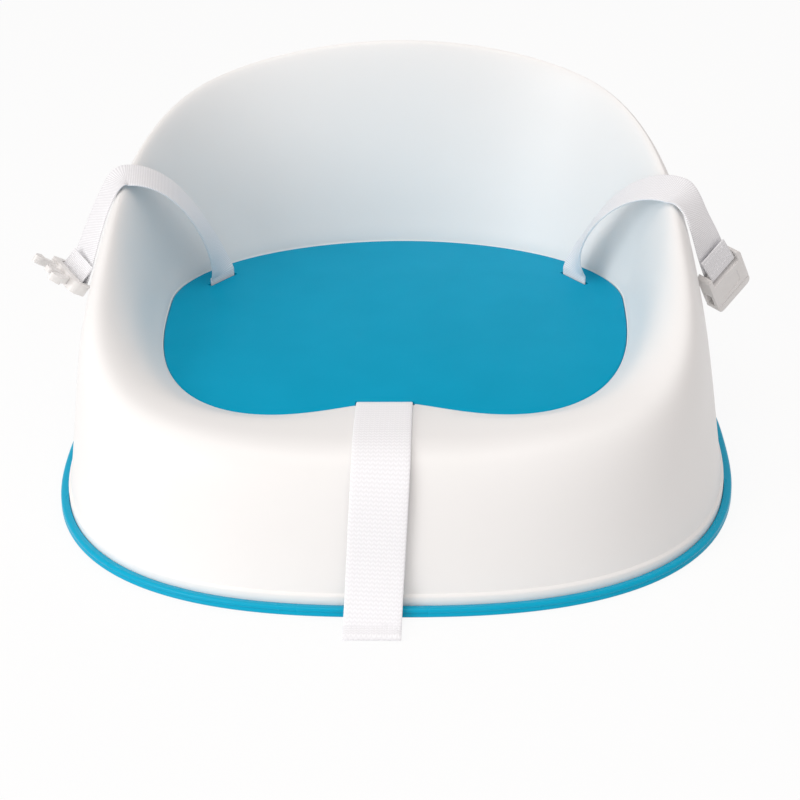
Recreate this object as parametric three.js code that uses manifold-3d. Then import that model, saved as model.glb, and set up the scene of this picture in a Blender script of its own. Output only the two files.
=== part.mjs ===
// Chair booster seat: a hollow moulded shell with a rolled rim, a foam seat pad let into its deck,
// a soft ring clipped round its foot, and a three-point harness of woven webbing with a
// side-release buckle. Millimetres, +Z up. The sitter faces -Y and the shell stands on z = 0.

import * as THREE from 'three';
import { mergeVertices } from 'three/addons/utils/BufferGeometryUtils.js';
import Module from 'manifold-3d';

const wasm = await Module();
wasm.setup();

// Driving dimensions: outlines seen from above
const BUCKET_CENTRE_Y = 20;
const FOOT = { centreY: 0, halfWidth: 188.4, front: 168.7, back: 168.4, frontPower: 2.65, backPower: 2.65 };
const RIM = { centreY: -10, halfWidth: 159.5, front: 123, back: 168, frontPower: 3.6, backPower: 2.8 };
const PAD = {
  centreY: 40.4,
  halfWidth: 134.2,
  front: 178,
  back: 89.5,
  frontPower: 2.59,
  backPower: 1.95,
  dip: 48.3,
  dipSpread: 0.463,
};

// Driving dimensions: shell
const WALL = 3;
const FOOT_Z = 3;
const FOOT_LIP = 1.5;
const FOOT_LIP_HEIGHT = 6;
const DECK_Z = 80;
const LIP_HEIGHT = 83;
const BACK_HEIGHT = 203;
const RIM_RISE = [
  { bearing: -90, share: 0 },
  { bearing: -66, share: 0.0125 },
  { bearing: -45, share: 0.1 },
  { bearing: -28, share: 0.3 },
  { bearing: -8, share: 0.4833 },
  { bearing: 12, share: 0.6125 },
  { bearing: 45, share: 0.875 },
  { bearing: 90, share: 1 },
];
const OUTER_ROLL = { back: 8, lip: 30 };
const INNER_ROLL = { back: 6, lip: 22 };
const WALL_DRAFT = 9;
const WALL_STRAIGHT = 0.45;
const BUCKET_FOOT = { run: 10, riseAtLip: 1.5, riseAtBack: 28 };
const RIB_THICKNESS = 2;
const RIB_DEPTH = 12;
const RIB_ROWS_Y = [-45, 15];
const RIB_COLUMNS_X = [-28, 28];
const CHAIR_SLOT = { width: 48, height: 12, x: 62, z: 42 };

// Driving dimensions: pad and base ring
const PAD_DEPTH = 14;
const PAD_GAP = 0.4;
const PAD_CROWN = 2.5;
const PAD_EDGE_ROUND = 2.5;
const RING_PROUD = 6.6;
const RING_HEIGHT = 5.2;
const RING_WALL = 2;

// Driving dimensions: webbing
const WEBBING = 1.3;
const LAP_WIDTH = 20;
const CROTCH_WIDTH = 30;
const STRAP_GAP = 0.35;
const SLOT_SPARE = 2;
const SLOT_OPENING = 4.6;
const FOLD_RADIUS = 1.2;
const LAP_SLOT = { x: 107.4, y: 69.3, turn: -52.6 };
const LAP_NOTCH_SPARE = 1;
const LAP_LEAVES = 0.1;
const LAP_RETURN = 14;
const CROTCH_X = -3;
const CROTCH_DRIFT = -5;
const CROTCH_TAIL_Y = -196;
const CROTCH_STAND_OFF = 2.5;
const CROTCH_BEND = 1.5;
const CROTCH_LIFT = 1.7;
const HEM = 10;

// Each lap strap. It rises straight from its slot, then in an arch with a handle at either end, and
// twists on the way. It crosses the rim at a bearing, with the angles of its heading and its tilt in
// degrees. It hangs to a buckle bar that lies at a bearing, below the rim and off the shell's wall.
// The heading and the ways that its width lies are directions, and the swing is the angle at which
// the buckle half stands out from the strap.
const LAPS = {
  right: {
    arch: { straight: 4.6, rise: 25, reach: 35, twist: 4.3 },
    crossing: { bearing: 3.9, heading: -38.3, tilt: 29.8, clear: 1.65, roll: 15.4 },
    bar: { bearing: -0.43, drop: 35.8, standOff: 12.1 },
    heading: [0.34, 0.44, -0.83],
    sideAcross: [0.635, 0.633, -0.281],
    endAcross: [0.6, 0.45, 0.66],
    pull: 33.4,
    swing: 0,
  },
  left: {
    arch: { straight: 4.5, rise: 7.8, reach: 36.5, twist: 2.5 },
    crossing: { bearing: 9.9, heading: -10.7, tilt: 16.3, clear: 1, roll: 13.5 },
    bar: { bearing: -2.01, drop: 39.5, standOff: 11.4 },
    heading: [-0.5, -0.06, -0.86],
    sideAcross: [-0.48, 0.665, -0.148],
    endAcross: [-0.619, 0.715, 0.316],
    pull: 15.3,
    swing: 102,
  },
};

// Driving dimensions: strap stops and buckle
const STOP = { thickness: 2.6, spare: 8, depth: 11, slot: 3, tail: 6 };
const COLLAR = { wall: 2.5, depth: 20 };
const BUCKLE = {
  bar: 1.7,
  clearance: 1,
  cheek: 3,
  heel: 3,
  web: 4.4,
  corner: 3,
  bevel: 0.9,
  femaleLength: 23,
  femaleThickness: 9.5,
  mouth: { width: 20.5, depth: 17, height: 6 },
  window: { length: 9, height: 4.6, back: 6 },
  maleShoulder: 6,
  maleThickness: 7,
  armThickness: 4.4,
  armLength: 17,
  guide: { width: 5, length: 13, thickness: 3 },
};

const COLLAR_Z = DECK_Z - COLLAR.depth;
const STEPS_ROUND = 72;
const STEPS_WALL = 8;
const MESH_TOLERANCE = 0.01;
const BAND_COLUMNS = [-1, -0.5, 0, 0.5, 1];
const DEGREE = Math.PI / 180;

// Curves and outlines

function mix(a, b, t) {
  return a + (b - a) * t;
}

function bezier(points, t) {
  const s = 1 - t;
  const weights = [s * s * s, 3 * s * s * t, 3 * s * t * t, t * t * t];
  const sum = points[0].clone().multiplyScalar(weights[0]);
  for (let i = 1; i < 4; i += 1) {
    sum.addScaledVector(points[i], weights[i]);
  }
  return sum;
}

// Distance from an outline's own centre to its edge
function outlineRadius(outline, angle) {
  const forward = Math.sin(angle) < 0;
  const depth = forward ? outline.front : outline.back;
  const power = forward ? outline.frontPower : outline.backPower;
  const across = Math.abs(Math.cos(angle) / outline.halfWidth) ** power;
  const along = Math.abs(Math.sin(angle) / depth) ** power;
  const fromFront = Math.atan2(Math.cos(angle), -Math.sin(angle));
  const dip = (outline.dip ?? 0) * Math.exp(-((fromFront / (outline.dipSpread ?? 1)) ** 2));
  return (across + along) ** (-1 / power) - dip;
}

// Distance from the bucket's centre to an outline, along a bearing
function reach(outline, bearing) {
  let inside = 0;
  let outside = 400;
  for (let i = 0; i < 40; i += 1) {
    const middle = (inside + outside) / 2;
    const x = Math.cos(bearing) * middle;
    const y = Math.sin(bearing) * middle + BUCKET_CENTRE_Y - outline.centreY;
    if (Math.hypot(x, y) < outlineRadius(outline, Math.atan2(y, x))) {
      inside = middle;
    } else {
      outside = middle;
    }
  }
  return inside;
}

// Height of the rim at a bearing, the same on both sides of the seat
function rimHeight(bearing) {
  const folded = Math.atan2(Math.sin(bearing), Math.abs(Math.cos(bearing))) / DEGREE;
  const stations = RIM_RISE;
  const last = stations.length - 1;
  const slope = (i) => {
    if (i <= 0 || i >= last) {
      return 0;
    }
    return (stations[i + 1].share - stations[i - 1].share)
      / (stations[i + 1].bearing - stations[i - 1].bearing);
  };
  let i = 0;
  while (i < last - 1 && folded > stations[i + 1].bearing) {
    i += 1;
  }
  const span = stations[i + 1].bearing - stations[i].bearing;
  const t = Math.min(Math.max((folded - stations[i].bearing) / span, 0), 1);
  const rise = stations[i + 1].share - stations[i].share;
  const start = slope(i) * span;
  const end = slope(i + 1) * span;
  const share = stations[i].share + start * t + (3 * rise - 2 * start - end) * t * t
    + (start + end - 2 * rise) * t * t * t;
  return mix(LIP_HEIGHT, BACK_HEIGHT, share);
}

function polar(bearing, radius, z) {
  return new THREE.Vector3(
    Math.cos(bearing) * radius,
    Math.sin(bearing) * radius + BUCKET_CENTRE_Y,
    z,
  );
}

function bearings() {
  return Array.from({ length: STEPS_ROUND }, (_, i) => (i / STEPS_ROUND * 360 - 90) * DEGREE);
}

// Curve of the outer wall at a bearing, from its foot to the rim's crest, and how low the rim is there
function outerWall(bearing) {
  const foot = reach(FOOT, bearing);
  const rim = reach(RIM, bearing);
  const height = rimHeight(bearing);
  const low = 1 - (height - LIP_HEIGHT) / (BACK_HEIGHT - LIP_HEIGHT);
  const roll = mix(OUTER_ROLL.back, OUTER_ROLL.lip, low ** 3);
  const wallFoot = FOOT_Z + FOOT_LIP_HEIGHT + FOOT_LIP;
  const curve = [
    new THREE.Vector2(foot, wallFoot),
    new THREE.Vector2(foot - WALL_DRAFT, mix(wallFoot, height, WALL_STRAIGHT)),
    new THREE.Vector2(rim + roll, height),
    new THREE.Vector2(rim, height),
  ];
  return { curve, low };
}

// Distance from the bucket's centre to the outer wall at a bearing and height
function wallReach(bearing, z) {
  const { curve } = outerWall(bearing);
  let below = 0;
  let above = 1;
  for (let i = 0; i < 40; i += 1) {
    const middle = (below + above) / 2;
    if (bezier(curve, middle).y < z) {
      below = middle;
    } else {
      above = middle;
    }
  }
  return bezier(curve, below).x;
}

// Half section of the shell's skin at a bearing, from its foot over the rim down to the deck.
// x is the distance from the bucket's centre and y the height.
function skinSection(bearing) {
  const { curve, low } = outerWall(bearing);
  const crest = curve[curve.length - 1];
  const deck = reach(PAD, bearing) + PAD_GAP;
  const roll = mix(INNER_ROLL.back, INNER_ROLL.lip, low * low);
  const footRise = mix(BUCKET_FOOT.riseAtBack, BUCKET_FOOT.riseAtLip, low);
  const inner = [
    crest,
    new THREE.Vector2(crest.x - roll, crest.y),
    new THREE.Vector2(deck + BUCKET_FOOT.run, DECK_Z + footRise),
    new THREE.Vector2(deck, DECK_Z),
  ];
  const points = [];
  for (let i = 0; i < STEPS_WALL; i += 1) {
    points.push(bezier(curve, i / STEPS_WALL));
  }
  for (let i = 0; i <= STEPS_WALL; i += 1) {
    points.push(bezier(inner, i / STEPS_WALL));
  }
  return points;
}

// The same section moved into the material by a depth
function inwardSection(bearing, depth) {
  const skin = skinSection(bearing);
  return skin.map((point, i) => {
    const before = skin[Math.max(i - 1, 0)];
    const after = skin[Math.min(i + 1, skin.length - 1)];
    const along = after.clone().sub(before).normalize();
    return new THREE.Vector2(point.x - along.y * depth, point.y + along.x * depth);
  });
}

// Solids

// Skins a stack of equal rings and closes both ends on a middle point. Sides past a ring's
// turning point have their diagonals the other way, so that a twisted band keeps its thickness.
function loft(rings, startMiddle, endMiddle, turningPoint = Infinity) {
  const around = rings[0].length;
  const vertices = rings.flat();
  const start = vertices.push(startMiddle) - 1;
  const end = vertices.push(endMiddle) - 1;
  const index = [];
  for (let i = 0; i < around; i += 1) {
    const next = (i + 1) % around;
    index.push(start, next, i);
    for (let j = 0; j < rings.length - 1; j += 1) {
      const low = j * around;
      const high = low + around;
      if (i < turningPoint) {
        index.push(low + i, low + next, high + next, low + i, high + next, high + i);
      } else {
        index.push(low + i, low + next, high + i, low + next, high + next, high + i);
      }
    }
    const top = (rings.length - 1) * around;
    index.push(top + i, top + next, end);
  }
  return indexed(vertices, index);
}

// Skins a closed section carried round a closed path
function hoop(sections) {
  const sides = sections[0].length;
  const vertices = sections.flat();
  const index = [];
  for (let i = 0; i < sections.length; i += 1) {
    const here = i * sides;
    const there = ((i + 1) % sections.length) * sides;
    for (let j = 0; j < sides; j += 1) {
      const next = (j + 1) % sides;
      index.push(here + j, there + j, there + next, here + j, there + next, here + next);
    }
  }
  return indexed(vertices, index);
}

function indexed(vertices, index) {
  const geometry = new THREE.BufferGeometry();
  geometry.setAttribute('position', new THREE.Float32BufferAttribute(
    vertices.flatMap((v) => [v.x, v.y, v.z]),
    3,
  ));
  geometry.setIndex(index);
  return geometry;
}

function solid(geometry) {
  const bare = geometry.clone();
  bare.deleteAttribute('normal');
  bare.deleteAttribute('uv');
  const merged = mergeVertices(bare, 1e-4);
  return new wasm.Manifold(new wasm.Mesh({
    numProp: 3,
    vertProperties: new Float32Array(merged.attributes.position.array),
    triVerts: new Uint32Array(merged.index.array),
  }));
}

function surface(body) {
  const mesh = body.simplify(MESH_TOLERANCE).getMesh();
  const geometry = new THREE.BufferGeometry();
  geometry.setAttribute('position', new THREE.BufferAttribute(new Float32Array(mesh.vertProperties), 3));
  geometry.setIndex(new THREE.BufferAttribute(new Uint32Array(mesh.triVerts), 1));
  return geometry;
}

function block(width, depth, height, x, y, z, turn = 0) {
  const geometry = new THREE.BoxGeometry(width, depth, height);
  geometry.rotateZ(turn * DEGREE);
  geometry.translate(x, y, z);
  return solid(geometry);
}

// Straight-sided block with the pad's outline grown by a margin
function padBlock(margin, bottom, top) {
  const ring = (z) => bearings().map((b) => polar(b, reach(PAD, b) + margin, z));
  return solid(loft(
    [ring(bottom), ring(top)],
    new THREE.Vector3(0, BUCKET_CENTRE_Y, bottom),
    new THREE.Vector3(0, BUCKET_CENTRE_Y, top),
  ));
}

function roundedPlate(width, depth, thickness, corner) {
  const shape = new THREE.Shape();
  const x = width / 2 - corner;
  const y = depth / 2 - corner;
  shape.absarc(x, y, corner, 0, Math.PI / 2);
  shape.absarc(-x, y, corner, Math.PI / 2, Math.PI);
  shape.absarc(-x, -y, corner, Math.PI, Math.PI * 1.5);
  shape.absarc(x, -y, corner, Math.PI * 1.5, Math.PI * 2);
  const geometry = new THREE.ExtrudeGeometry(shape, {
    depth: thickness,
    bevelEnabled: false,
    curveSegments: 4,
  });
  geometry.translate(0, 0, -thickness / 2);
  return geometry;
}

// Seat shell

function shellSkin() {
  const around = bearings();
  const sections = around.map(skinSection);
  const foot = around.map((b) => reach(FOOT, b));
  const rings = [
    around.map((b, i) => polar(b, foot[i] + FOOT_LIP, FOOT_Z)),
    around.map((b, i) => polar(b, foot[i] + FOOT_LIP, FOOT_Z + FOOT_LIP_HEIGHT)),
  ];
  for (let j = 0; j < sections[0].length; j += 1) {
    rings.push(around.map((b, i) => polar(b, sections[i][j].x, sections[i][j].y)));
  }
  return solid(loft(
    rings,
    new THREE.Vector3(0, BUCKET_CENTRE_Y, FOOT_Z),
    new THREE.Vector3(0, BUCKET_CENTRE_Y, DECK_Z),
  ));
}

// Space inside the skin, a depth in from it
function innerSpace(depth) {
  const around = bearings();
  const sections = around.map((b) => inwardSection(b, depth));
  const rings = [around.map((b, i) => polar(b, sections[i][0].x, FOOT_Z - WALL))];
  for (let j = 0; j < sections[0].length; j += 1) {
    rings.push(around.map((b, i) => polar(b, sections[i][j].x, sections[i][j].y)));
  }
  return solid(loft(
    rings,
    new THREE.Vector3(0, BUCKET_CENTRE_Y, FOOT_Z - WALL),
    new THREE.Vector3(0, BUCKET_CENTRE_Y, DECK_Z - depth),
  ));
}

function ribs() {
  const top = DECK_Z - PAD_DEPTH - WALL / 2;
  const middle = top - RIB_DEPTH / 2;
  const span = FOOT.halfWidth * 2;
  let web = block(RIB_THICKNESS, span, RIB_DEPTH, RIB_COLUMNS_X[0], 0, middle);
  for (const x of RIB_COLUMNS_X.slice(1)) {
    web = web.add(block(RIB_THICKNESS, span, RIB_DEPTH, x, 0, middle));
  }
  for (const y of RIB_ROWS_Y) {
    web = web.add(block(span, RIB_THICKNESS, RIB_DEPTH, 0, y, middle));
  }
  return web;
}

function seatShell() {
  const floorZ = DECK_Z - PAD_DEPTH;
  const recess = padBlock(PAD_GAP + 0.2, floorZ, DECK_Z + 1);
  const recessBox = padBlock(PAD_GAP + WALL, floorZ - WALL, DECK_Z + 1);
  const hollow = innerSpace(WALL).subtract(recessBox);
  let shell = shellSkin().subtract(hollow);
  shell = shell.add(crotchCollar()).subtract(recess);
  shell = shell.add(ribs().intersect(innerSpace(WALL / 2)));
  for (const side of [-1, 1]) {
    shell = shell.subtract(block(
      LAP_WIDTH + SLOT_SPARE,
      SLOT_OPENING,
      WALL * 3,
      side * LAP_SLOT.x,
      LAP_SLOT.y,
      floorZ,
      side * LAP_SLOT.turn,
    ));
    shell = shell.subtract(block(
      CHAIR_SLOT.width,
      60,
      CHAIR_SLOT.height,
      side * CHAIR_SLOT.x,
      FOOT.back,
      CHAIR_SLOT.z,
    ));
  }
  shell = shell.subtract(crotchSlot(SLOT_SPARE / 2));
  return surface(shell);
}

// Through slot between the pad's front edge and the deck, with some room at each end of it
function crotchSlot(spare) {
  const width = CROTCH_WIDTH + spare * 2;
  return block(width, SLOT_OPENING, COLLAR.depth * 2, CROTCH_X, crotchSlotY(), DECK_Z - COLLAR.depth / 2);
}

// Wall round that slot under the deck
function crotchCollar() {
  const width = CROTCH_WIDTH + (SLOT_SPARE + COLLAR.wall) * 2;
  const depth = SLOT_OPENING + COLLAR.wall * 2;
  const height = COLLAR.depth - WALL / 2;
  return block(width, depth, height, CROTCH_X, crotchSlotY(), COLLAR_Z + height / 2);
}

// Base ring

function baseRing() {
  const outer = RING_PROUD;
  const seat = FOOT_LIP + STRAP_GAP;
  const inside = -WALL - STRAP_GAP;
  const sections = bearings().map((b) => {
    const foot = reach(FOOT, b);
    const profile = [
      [inside - RING_WALL, 0],
      [outer - 2, 0],
      [outer, 2],
      [outer, RING_HEIGHT - 2],
      [outer - 0.6, RING_HEIGHT - 0.6],
      [outer - 2, RING_HEIGHT],
      [seat, RING_HEIGHT - 0.5],
      [seat, FOOT_Z - STRAP_GAP],
      [inside, FOOT_Z - STRAP_GAP],
      [inside, RING_HEIGHT - 1],
      [inside - RING_WALL, RING_HEIGHT - 1],
    ];
    return profile.map(([out, z]) => polar(b, foot + out, z));
  });
  return hoop(sections);
}

// Seat pad

function seatPad() {
  const bottom = DECK_Z - PAD_DEPTH + STRAP_GAP;
  const around = bearings();
  const radii = around.map((b) => reach(PAD, b));
  const profile = [
    [0, bottom],
    [0, DECK_Z - PAD_EDGE_ROUND],
    [-PAD_EDGE_ROUND * 0.3, DECK_Z - PAD_EDGE_ROUND * 0.3],
    [-PAD_EDGE_ROUND, DECK_Z],
  ];
  const rings = profile.map(([out, z]) => around.map((b, i) => polar(b, radii[i] + out, z)));
  for (const share of [0.85, 0.66, 0.44, 0.22]) {
    const rise = PAD_CROWN * (1 - share * share);
    rings.push(around.map((b, i) => polar(b, (radii[i] - PAD_EDGE_ROUND) * share, DECK_Z + rise)));
  }
  let pad = solid(loft(
    rings,
    new THREE.Vector3(0, BUCKET_CENTRE_Y, bottom),
    new THREE.Vector3(0, BUCKET_CENTRE_Y, DECK_Z + PAD_CROWN),
  ));
  for (const side of [-1, 1]) {
    pad = pad.subtract(lapNotch(side));
  }
  pad = pad.subtract(crotchSlot(STRAP_GAP * 2));
  return surface(pad);
}

// Open notch from the pad's edge inwards to the lap strap's slot
function lapNotch(side) {
  const depth = 40;
  const turn = LAP_SLOT.turn * DEGREE;
  const inward = WEBBING / 2 + STRAP_GAP;
  const shift = depth / 2 - inward;
  const x = LAP_SLOT.x + Math.sin(-turn) * shift;
  const y = LAP_SLOT.y + Math.cos(turn) * shift;
  return block(
    LAP_WIDTH + LAP_NOTCH_SPARE * 2,
    depth,
    PAD_DEPTH * 3,
    side * x,
    y,
    DECK_Z,
    side * LAP_SLOT.turn,
  );
}

// Webbing

// Flat band along a path of stations, each with its middle point and the way its width lies. A
// station where the band is cut also has the way that the strap runs there.
function band(stations, width) {
  const rings = stations.map((station, i) => {
    const before = stations[Math.max(i - 1, 0)].middle;
    const after = stations[Math.min(i + 1, stations.length - 1)].middle;
    const along = station.along ?? after.clone().sub(before).normalize();
    const across = station.across.clone().addScaledVector(along, -along.dot(station.across)).normalize();
    const out = along.clone().cross(across);
    const corner = (side, face) => station.middle.clone()
      .addScaledVector(across, side * width / 2)
      .addScaledVector(out, face * WEBBING / 2);
    return [
      ...BAND_COLUMNS.map((side) => corner(side, -1)),
      ...BAND_COLUMNS.map((side) => corner(-side, 1)),
    ];
  });
  return loft(rings, stations[0].middle, stations[stations.length - 1].middle, BAND_COLUMNS.length);
}

function vector([x, y, z]) {
  return new THREE.Vector3(x, y, z);
}

// The two ends of a strap at a cut, half a gap either side of it
function cutStation(middle, along, across, side) {
  return { middle: middle.clone().addScaledVector(along, side * STRAP_GAP / 2), along, across };
}

// Half turn of webbing about a centre, from one face of a strap to the other
function halfTurn(centre, along, out, radius, across, steps = 6) {
  return Array.from({ length: steps + 1 }, (_, i) => {
    const angle = Math.PI * (0.5 - i / steps);
    return {
      middle: centre.clone()
        .addScaledVector(along, Math.cos(angle) * radius)
        .addScaledVector(out, Math.sin(angle) * radius),
      across,
    };
  });
}

// Folded end of a strap below its stop, read from the free end up to the strap's standing part
function foldedEnd(foot, across, out, tail) {
  const down = new THREE.Vector3(0, 0, -1);
  const centre = foot.clone().addScaledVector(out, FOLD_RADIUS);
  const free = centre.clone().addScaledVector(out, FOLD_RADIUS).addScaledVector(down, -tail);
  return [{ middle: free, across }, ...halfTurn(centre, down, out, FOLD_RADIUS, across)];
}

// Point of the rim's crest at a bearing
function rimPoint(degrees) {
  const bearing = degrees * DEGREE;
  return polar(bearing, reach(RIM, bearing), rimHeight(bearing));
}

function mirrored(v) {
  return new THREE.Vector3(-v.x, v.y, v.z);
}

// Point at a bearing, a drop below the rim and a stand-off from the outer wall
function besideWall(place) {
  const bearing = place.bearing * DEGREE;
  const z = rimHeight(bearing) - place.drop;
  return polar(bearing, wallReach(bearing, z) + place.standOff, z);
}

// Fixed points and headings of a lap strap, for the right side or mirrored to the left
function lapFrame(name) {
  const side = name === 'right' ? 1 : -1;
  const turn = LAP_SLOT.turn * DEGREE;
  const lap = LAPS[name];
  const heading = lap.crossing.heading * DEGREE;
  const tilt = lap.crossing.tilt * DEGREE;
  const lift = STRAP_GAP + WEBBING / 2 + lap.crossing.clear;
  const frame = {
    slot: new THREE.Vector3(LAP_SLOT.x, LAP_SLOT.y, DECK_Z),
    slotAcross: new THREE.Vector3(-Math.cos(turn), -Math.sin(turn), 0),
    slotOut: new THREE.Vector3(-Math.sin(turn), Math.cos(turn), 0),
    crest: rimPoint(lap.crossing.bearing).add(new THREE.Vector3(0, 0, lift)),
    crestAlong: new THREE.Vector3(Math.cos(heading), Math.sin(heading), 0),
    crestAcross: new THREE.Vector3(
      -Math.sin(heading) * Math.cos(tilt),
      Math.cos(heading) * Math.cos(tilt),
      Math.sin(tilt),
    ),
    end: besideWall(lap.bar),
  };
  if (side < 0) {
    for (const key of Object.keys(frame)) {
      frame[key] = mirrored(frame[key]);
    }
  }
  frame.arch = lap.arch;
  frame.endAlong = vector(lap.heading).normalize();
  frame.endAcross = vector(lap.endAcross);
  frame.endAcross.addScaledVector(frame.endAlong, -frame.endAlong.dot(frame.endAcross)).normalize();
  frame.endOut = frame.endAlong.clone().cross(frame.endAcross).multiplyScalar(side);
  frame.swing = lap.swing;
  frame.hang = [
    frame.crest,
    frame.crest.clone().addScaledVector(frame.crestAlong, lap.crossing.roll),
    frame.end.clone().addScaledVector(frame.endAlong, -lap.pull),
    frame.end,
  ];
  frame.hangAcross = [frame.crestAcross, vector(lap.sideAcross), vector(lap.sideAcross), frame.endAcross];
  frame.cut = bezier(frame.hang, LAP_LEAVES);
  frame.cutAlong = bezier(frame.hang, LAP_LEAVES * 1.1)
    .sub(bezier(frame.hang, LAP_LEAVES * 0.9))
    .normalize();
  return frame;
}

// Strap from its stop, up through slot and notch and in a free arch over the rim
function lapInnerStations(frame) {
  const foot = frame.slot.clone();
  foot.z = DECK_Z - PAD_DEPTH - WALL - STOP.thickness - STOP.tail;
  const stations = foldedEnd(foot, frame.slotAcross, frame.slotOut, STOP.tail - STRAP_GAP * 2);
  const top = frame.slot.clone();
  top.z = DECK_Z + frame.arch.straight;
  const straight = 4;
  for (let i = 1; i <= straight; i += 1) {
    stations.push({ middle: foot.clone().lerp(top, i / straight), across: frame.slotAcross });
  }
  const arch = [
    top,
    top.clone().add(new THREE.Vector3(0, 0, frame.arch.rise)),
    frame.crest.clone().addScaledVector(frame.crestAlong, -frame.arch.reach),
    frame.crest,
  ];
  const steps = 14;
  for (let i = 1; i <= steps; i += 1) {
    const turned = 1 - (1 - i / steps) ** frame.arch.twist;
    const across = frame.slotAcross.clone().lerp(frame.crestAcross, turned);
    stations.push({ middle: bezier(arch, i / steps), across });
  }
  stations.push(cutStation(frame.cut, frame.cutAlong, frame.crestAcross, -1));
  return stations;
}

function smooth(t) {
  return t * t * (3 - 2 * t);
}

// Strap from the rim down to the buckle bar, round it and back on itself
function lapHangStations(frame) {
  const stations = [cutStation(frame.cut, frame.cutAlong, frame.crestAcross, 1)];
  const steps = 16;
  for (let i = 1; i <= steps; i += 1) {
    const share = i / steps;
    const across = bezier(frame.hangAcross, share);
    stations.push({ middle: bezier(frame.hang, mix(LAP_LEAVES, 1, share)), across });
  }
  const radius = BUCKLE.bar + STRAP_GAP + WEBBING / 2;
  const centre = frame.end.clone().addScaledVector(frame.endOut, radius);
  const turn = halfTurn(centre, frame.endAlong, frame.endOut.clone().negate(), radius, frame.endAcross, 8);
  stations.push(...turn.slice(1));
  const back = frame.end.clone()
    .addScaledVector(frame.endAlong, -LAP_RETURN)
    .addScaledVector(frame.endOut, WEBBING + STRAP_GAP * 2);
  const last = turn[turn.length - 1].middle;
  stations.push({ middle: last.clone().lerp(back, 0.5), across: frame.endAcross });
  stations.push({ middle: back, across: frame.endAcross });
  return stations;
}

// Shell's skin at the front centre, as points that run from the deck over the lip to the foot
function frontSkin() {
  const bearing = -Math.PI / 2;
  return skinSection(bearing).reverse().map((point) => polar(bearing, point.x, point.y));
}

function crotchSlotY() {
  return BUCKET_CENTRE_Y - reach(PAD, -Math.PI / 2) - PAD_GAP - SLOT_OPENING / 2;
}

// Middle line of the crotch strap over the lip, with the index of the lip's crest
function crotchRoute() {
  const skin = frontSkin();
  const route = [];
  for (let i = 2; i < skin.length - 2; i += 1) {
    const along = skin[i + 1].clone().sub(skin[i - 1]).normalize();
    const share = Math.max(0, i - STEPS_WALL) / (STEPS_WALL - 2);
    const off = WEBBING / 2 + STRAP_GAP * 2 + CROTCH_STAND_OFF * smooth(Math.min(1, share * 1.6));
    const out = new THREE.Vector3(0, along.z, -along.y);
    route.push(skin[i].clone().addScaledVector(out, off));
  }
  return route;
}

function crotchStation(point) {
  const share = Math.min(1, Math.max(0, (DECK_Z - point.z) / DECK_Z));
  const middle = point.clone();
  middle.x = CROTCH_X + CROTCH_DRIFT * share;
  return { middle, across: new THREE.Vector3(1, 0, 0) };
}

const CROTCH_CREST_STEP = STEPS_WALL - 2;

// Where the crotch strap starts to hang, on one side of the cut or the other
function crotchCut(side) {
  const route = crotchRoute();
  const crest = crotchStation(route[CROTCH_CREST_STEP]);
  const along = route[CROTCH_CREST_STEP + 1].clone().sub(route[CROTCH_CREST_STEP - 1]).normalize();
  return cutStation(crest.middle, along, crest.across, side);
}

// The strap rises along the slot's front face
function crotchStrapY() {
  return crotchSlotY() - SLOT_OPENING / 2 + WEBBING / 2 + STRAP_GAP;
}

function crotchInnerStations() {
  const y = crotchStrapY();
  const across = new THREE.Vector3(1, 0, 0);
  const foot = new THREE.Vector3(CROTCH_X, y, COLLAR_Z - STOP.thickness - STOP.tail);
  const stations = foldedEnd(foot, across, new THREE.Vector3(0, 1, 0), STOP.tail - STRAP_GAP * 2);
  const route = crotchRoute();
  const top = new THREE.Vector3(CROTCH_X, y, DECK_Z + CROTCH_LIFT - CROTCH_BEND);
  for (let i = 1; i <= 3; i += 1) {
    stations.push({ middle: foot.clone().lerp(top, i / 3), across });
  }
  for (let i = 1; i <= 4; i += 1) {
    const angle = i / 4 * Math.PI / 2;
    stations.push({
      middle: top.clone().add(vector([0, (Math.cos(angle) - 1) * CROTCH_BEND, Math.sin(angle) * CROTCH_BEND])),
      across,
    });
  }
  for (const point of route.slice(0, CROTCH_CREST_STEP)) {
    stations.push(crotchStation(point));
  }
  stations.push(crotchCut(-1));
  return stations;
}

function crotchHangStations() {
  const route = crotchRoute().slice(CROTCH_CREST_STEP + 1);
  const stations = [crotchCut(1), ...route.map(crotchStation)];
  const wall = route[route.length - 1];
  const before = route[route.length - 2];
  const ring = -FOOT.front - RING_PROUD;
  const floor = WEBBING / 2;
  const curve = [
    wall,
    wall.clone().add(wall.clone().sub(before).setLength(wall.z / 2)),
    new THREE.Vector3(0, ring - CROTCH_STAND_OFF, floor),
    new THREE.Vector3(0, ring - HEM - CROTCH_STAND_OFF, floor),
  ];
  const steps = 8;
  for (let i = 1; i <= steps; i += 1) {
    stations.push(crotchStation(bezier(curve, i / steps)));
  }
  const forward = new THREE.Vector3(0, -1, 0);
  const up = new THREE.Vector3(0, 0, 1);
  const centre = new THREE.Vector3(0, CROTCH_TAIL_Y + FOLD_RADIUS + WEBBING / 2, floor + FOLD_RADIUS);
  const turn = halfTurn(centre, forward, up.clone().negate(), FOLD_RADIUS, stations[0].across);
  stations.push(...turn.map((station) => crotchStation(station.middle)));
  const back = new THREE.Vector3(0, CROTCH_TAIL_Y + HEM, floor + WEBBING + STRAP_GAP);
  stations.push(crotchStation(back));
  return stations;
}

// Strap stops

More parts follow.
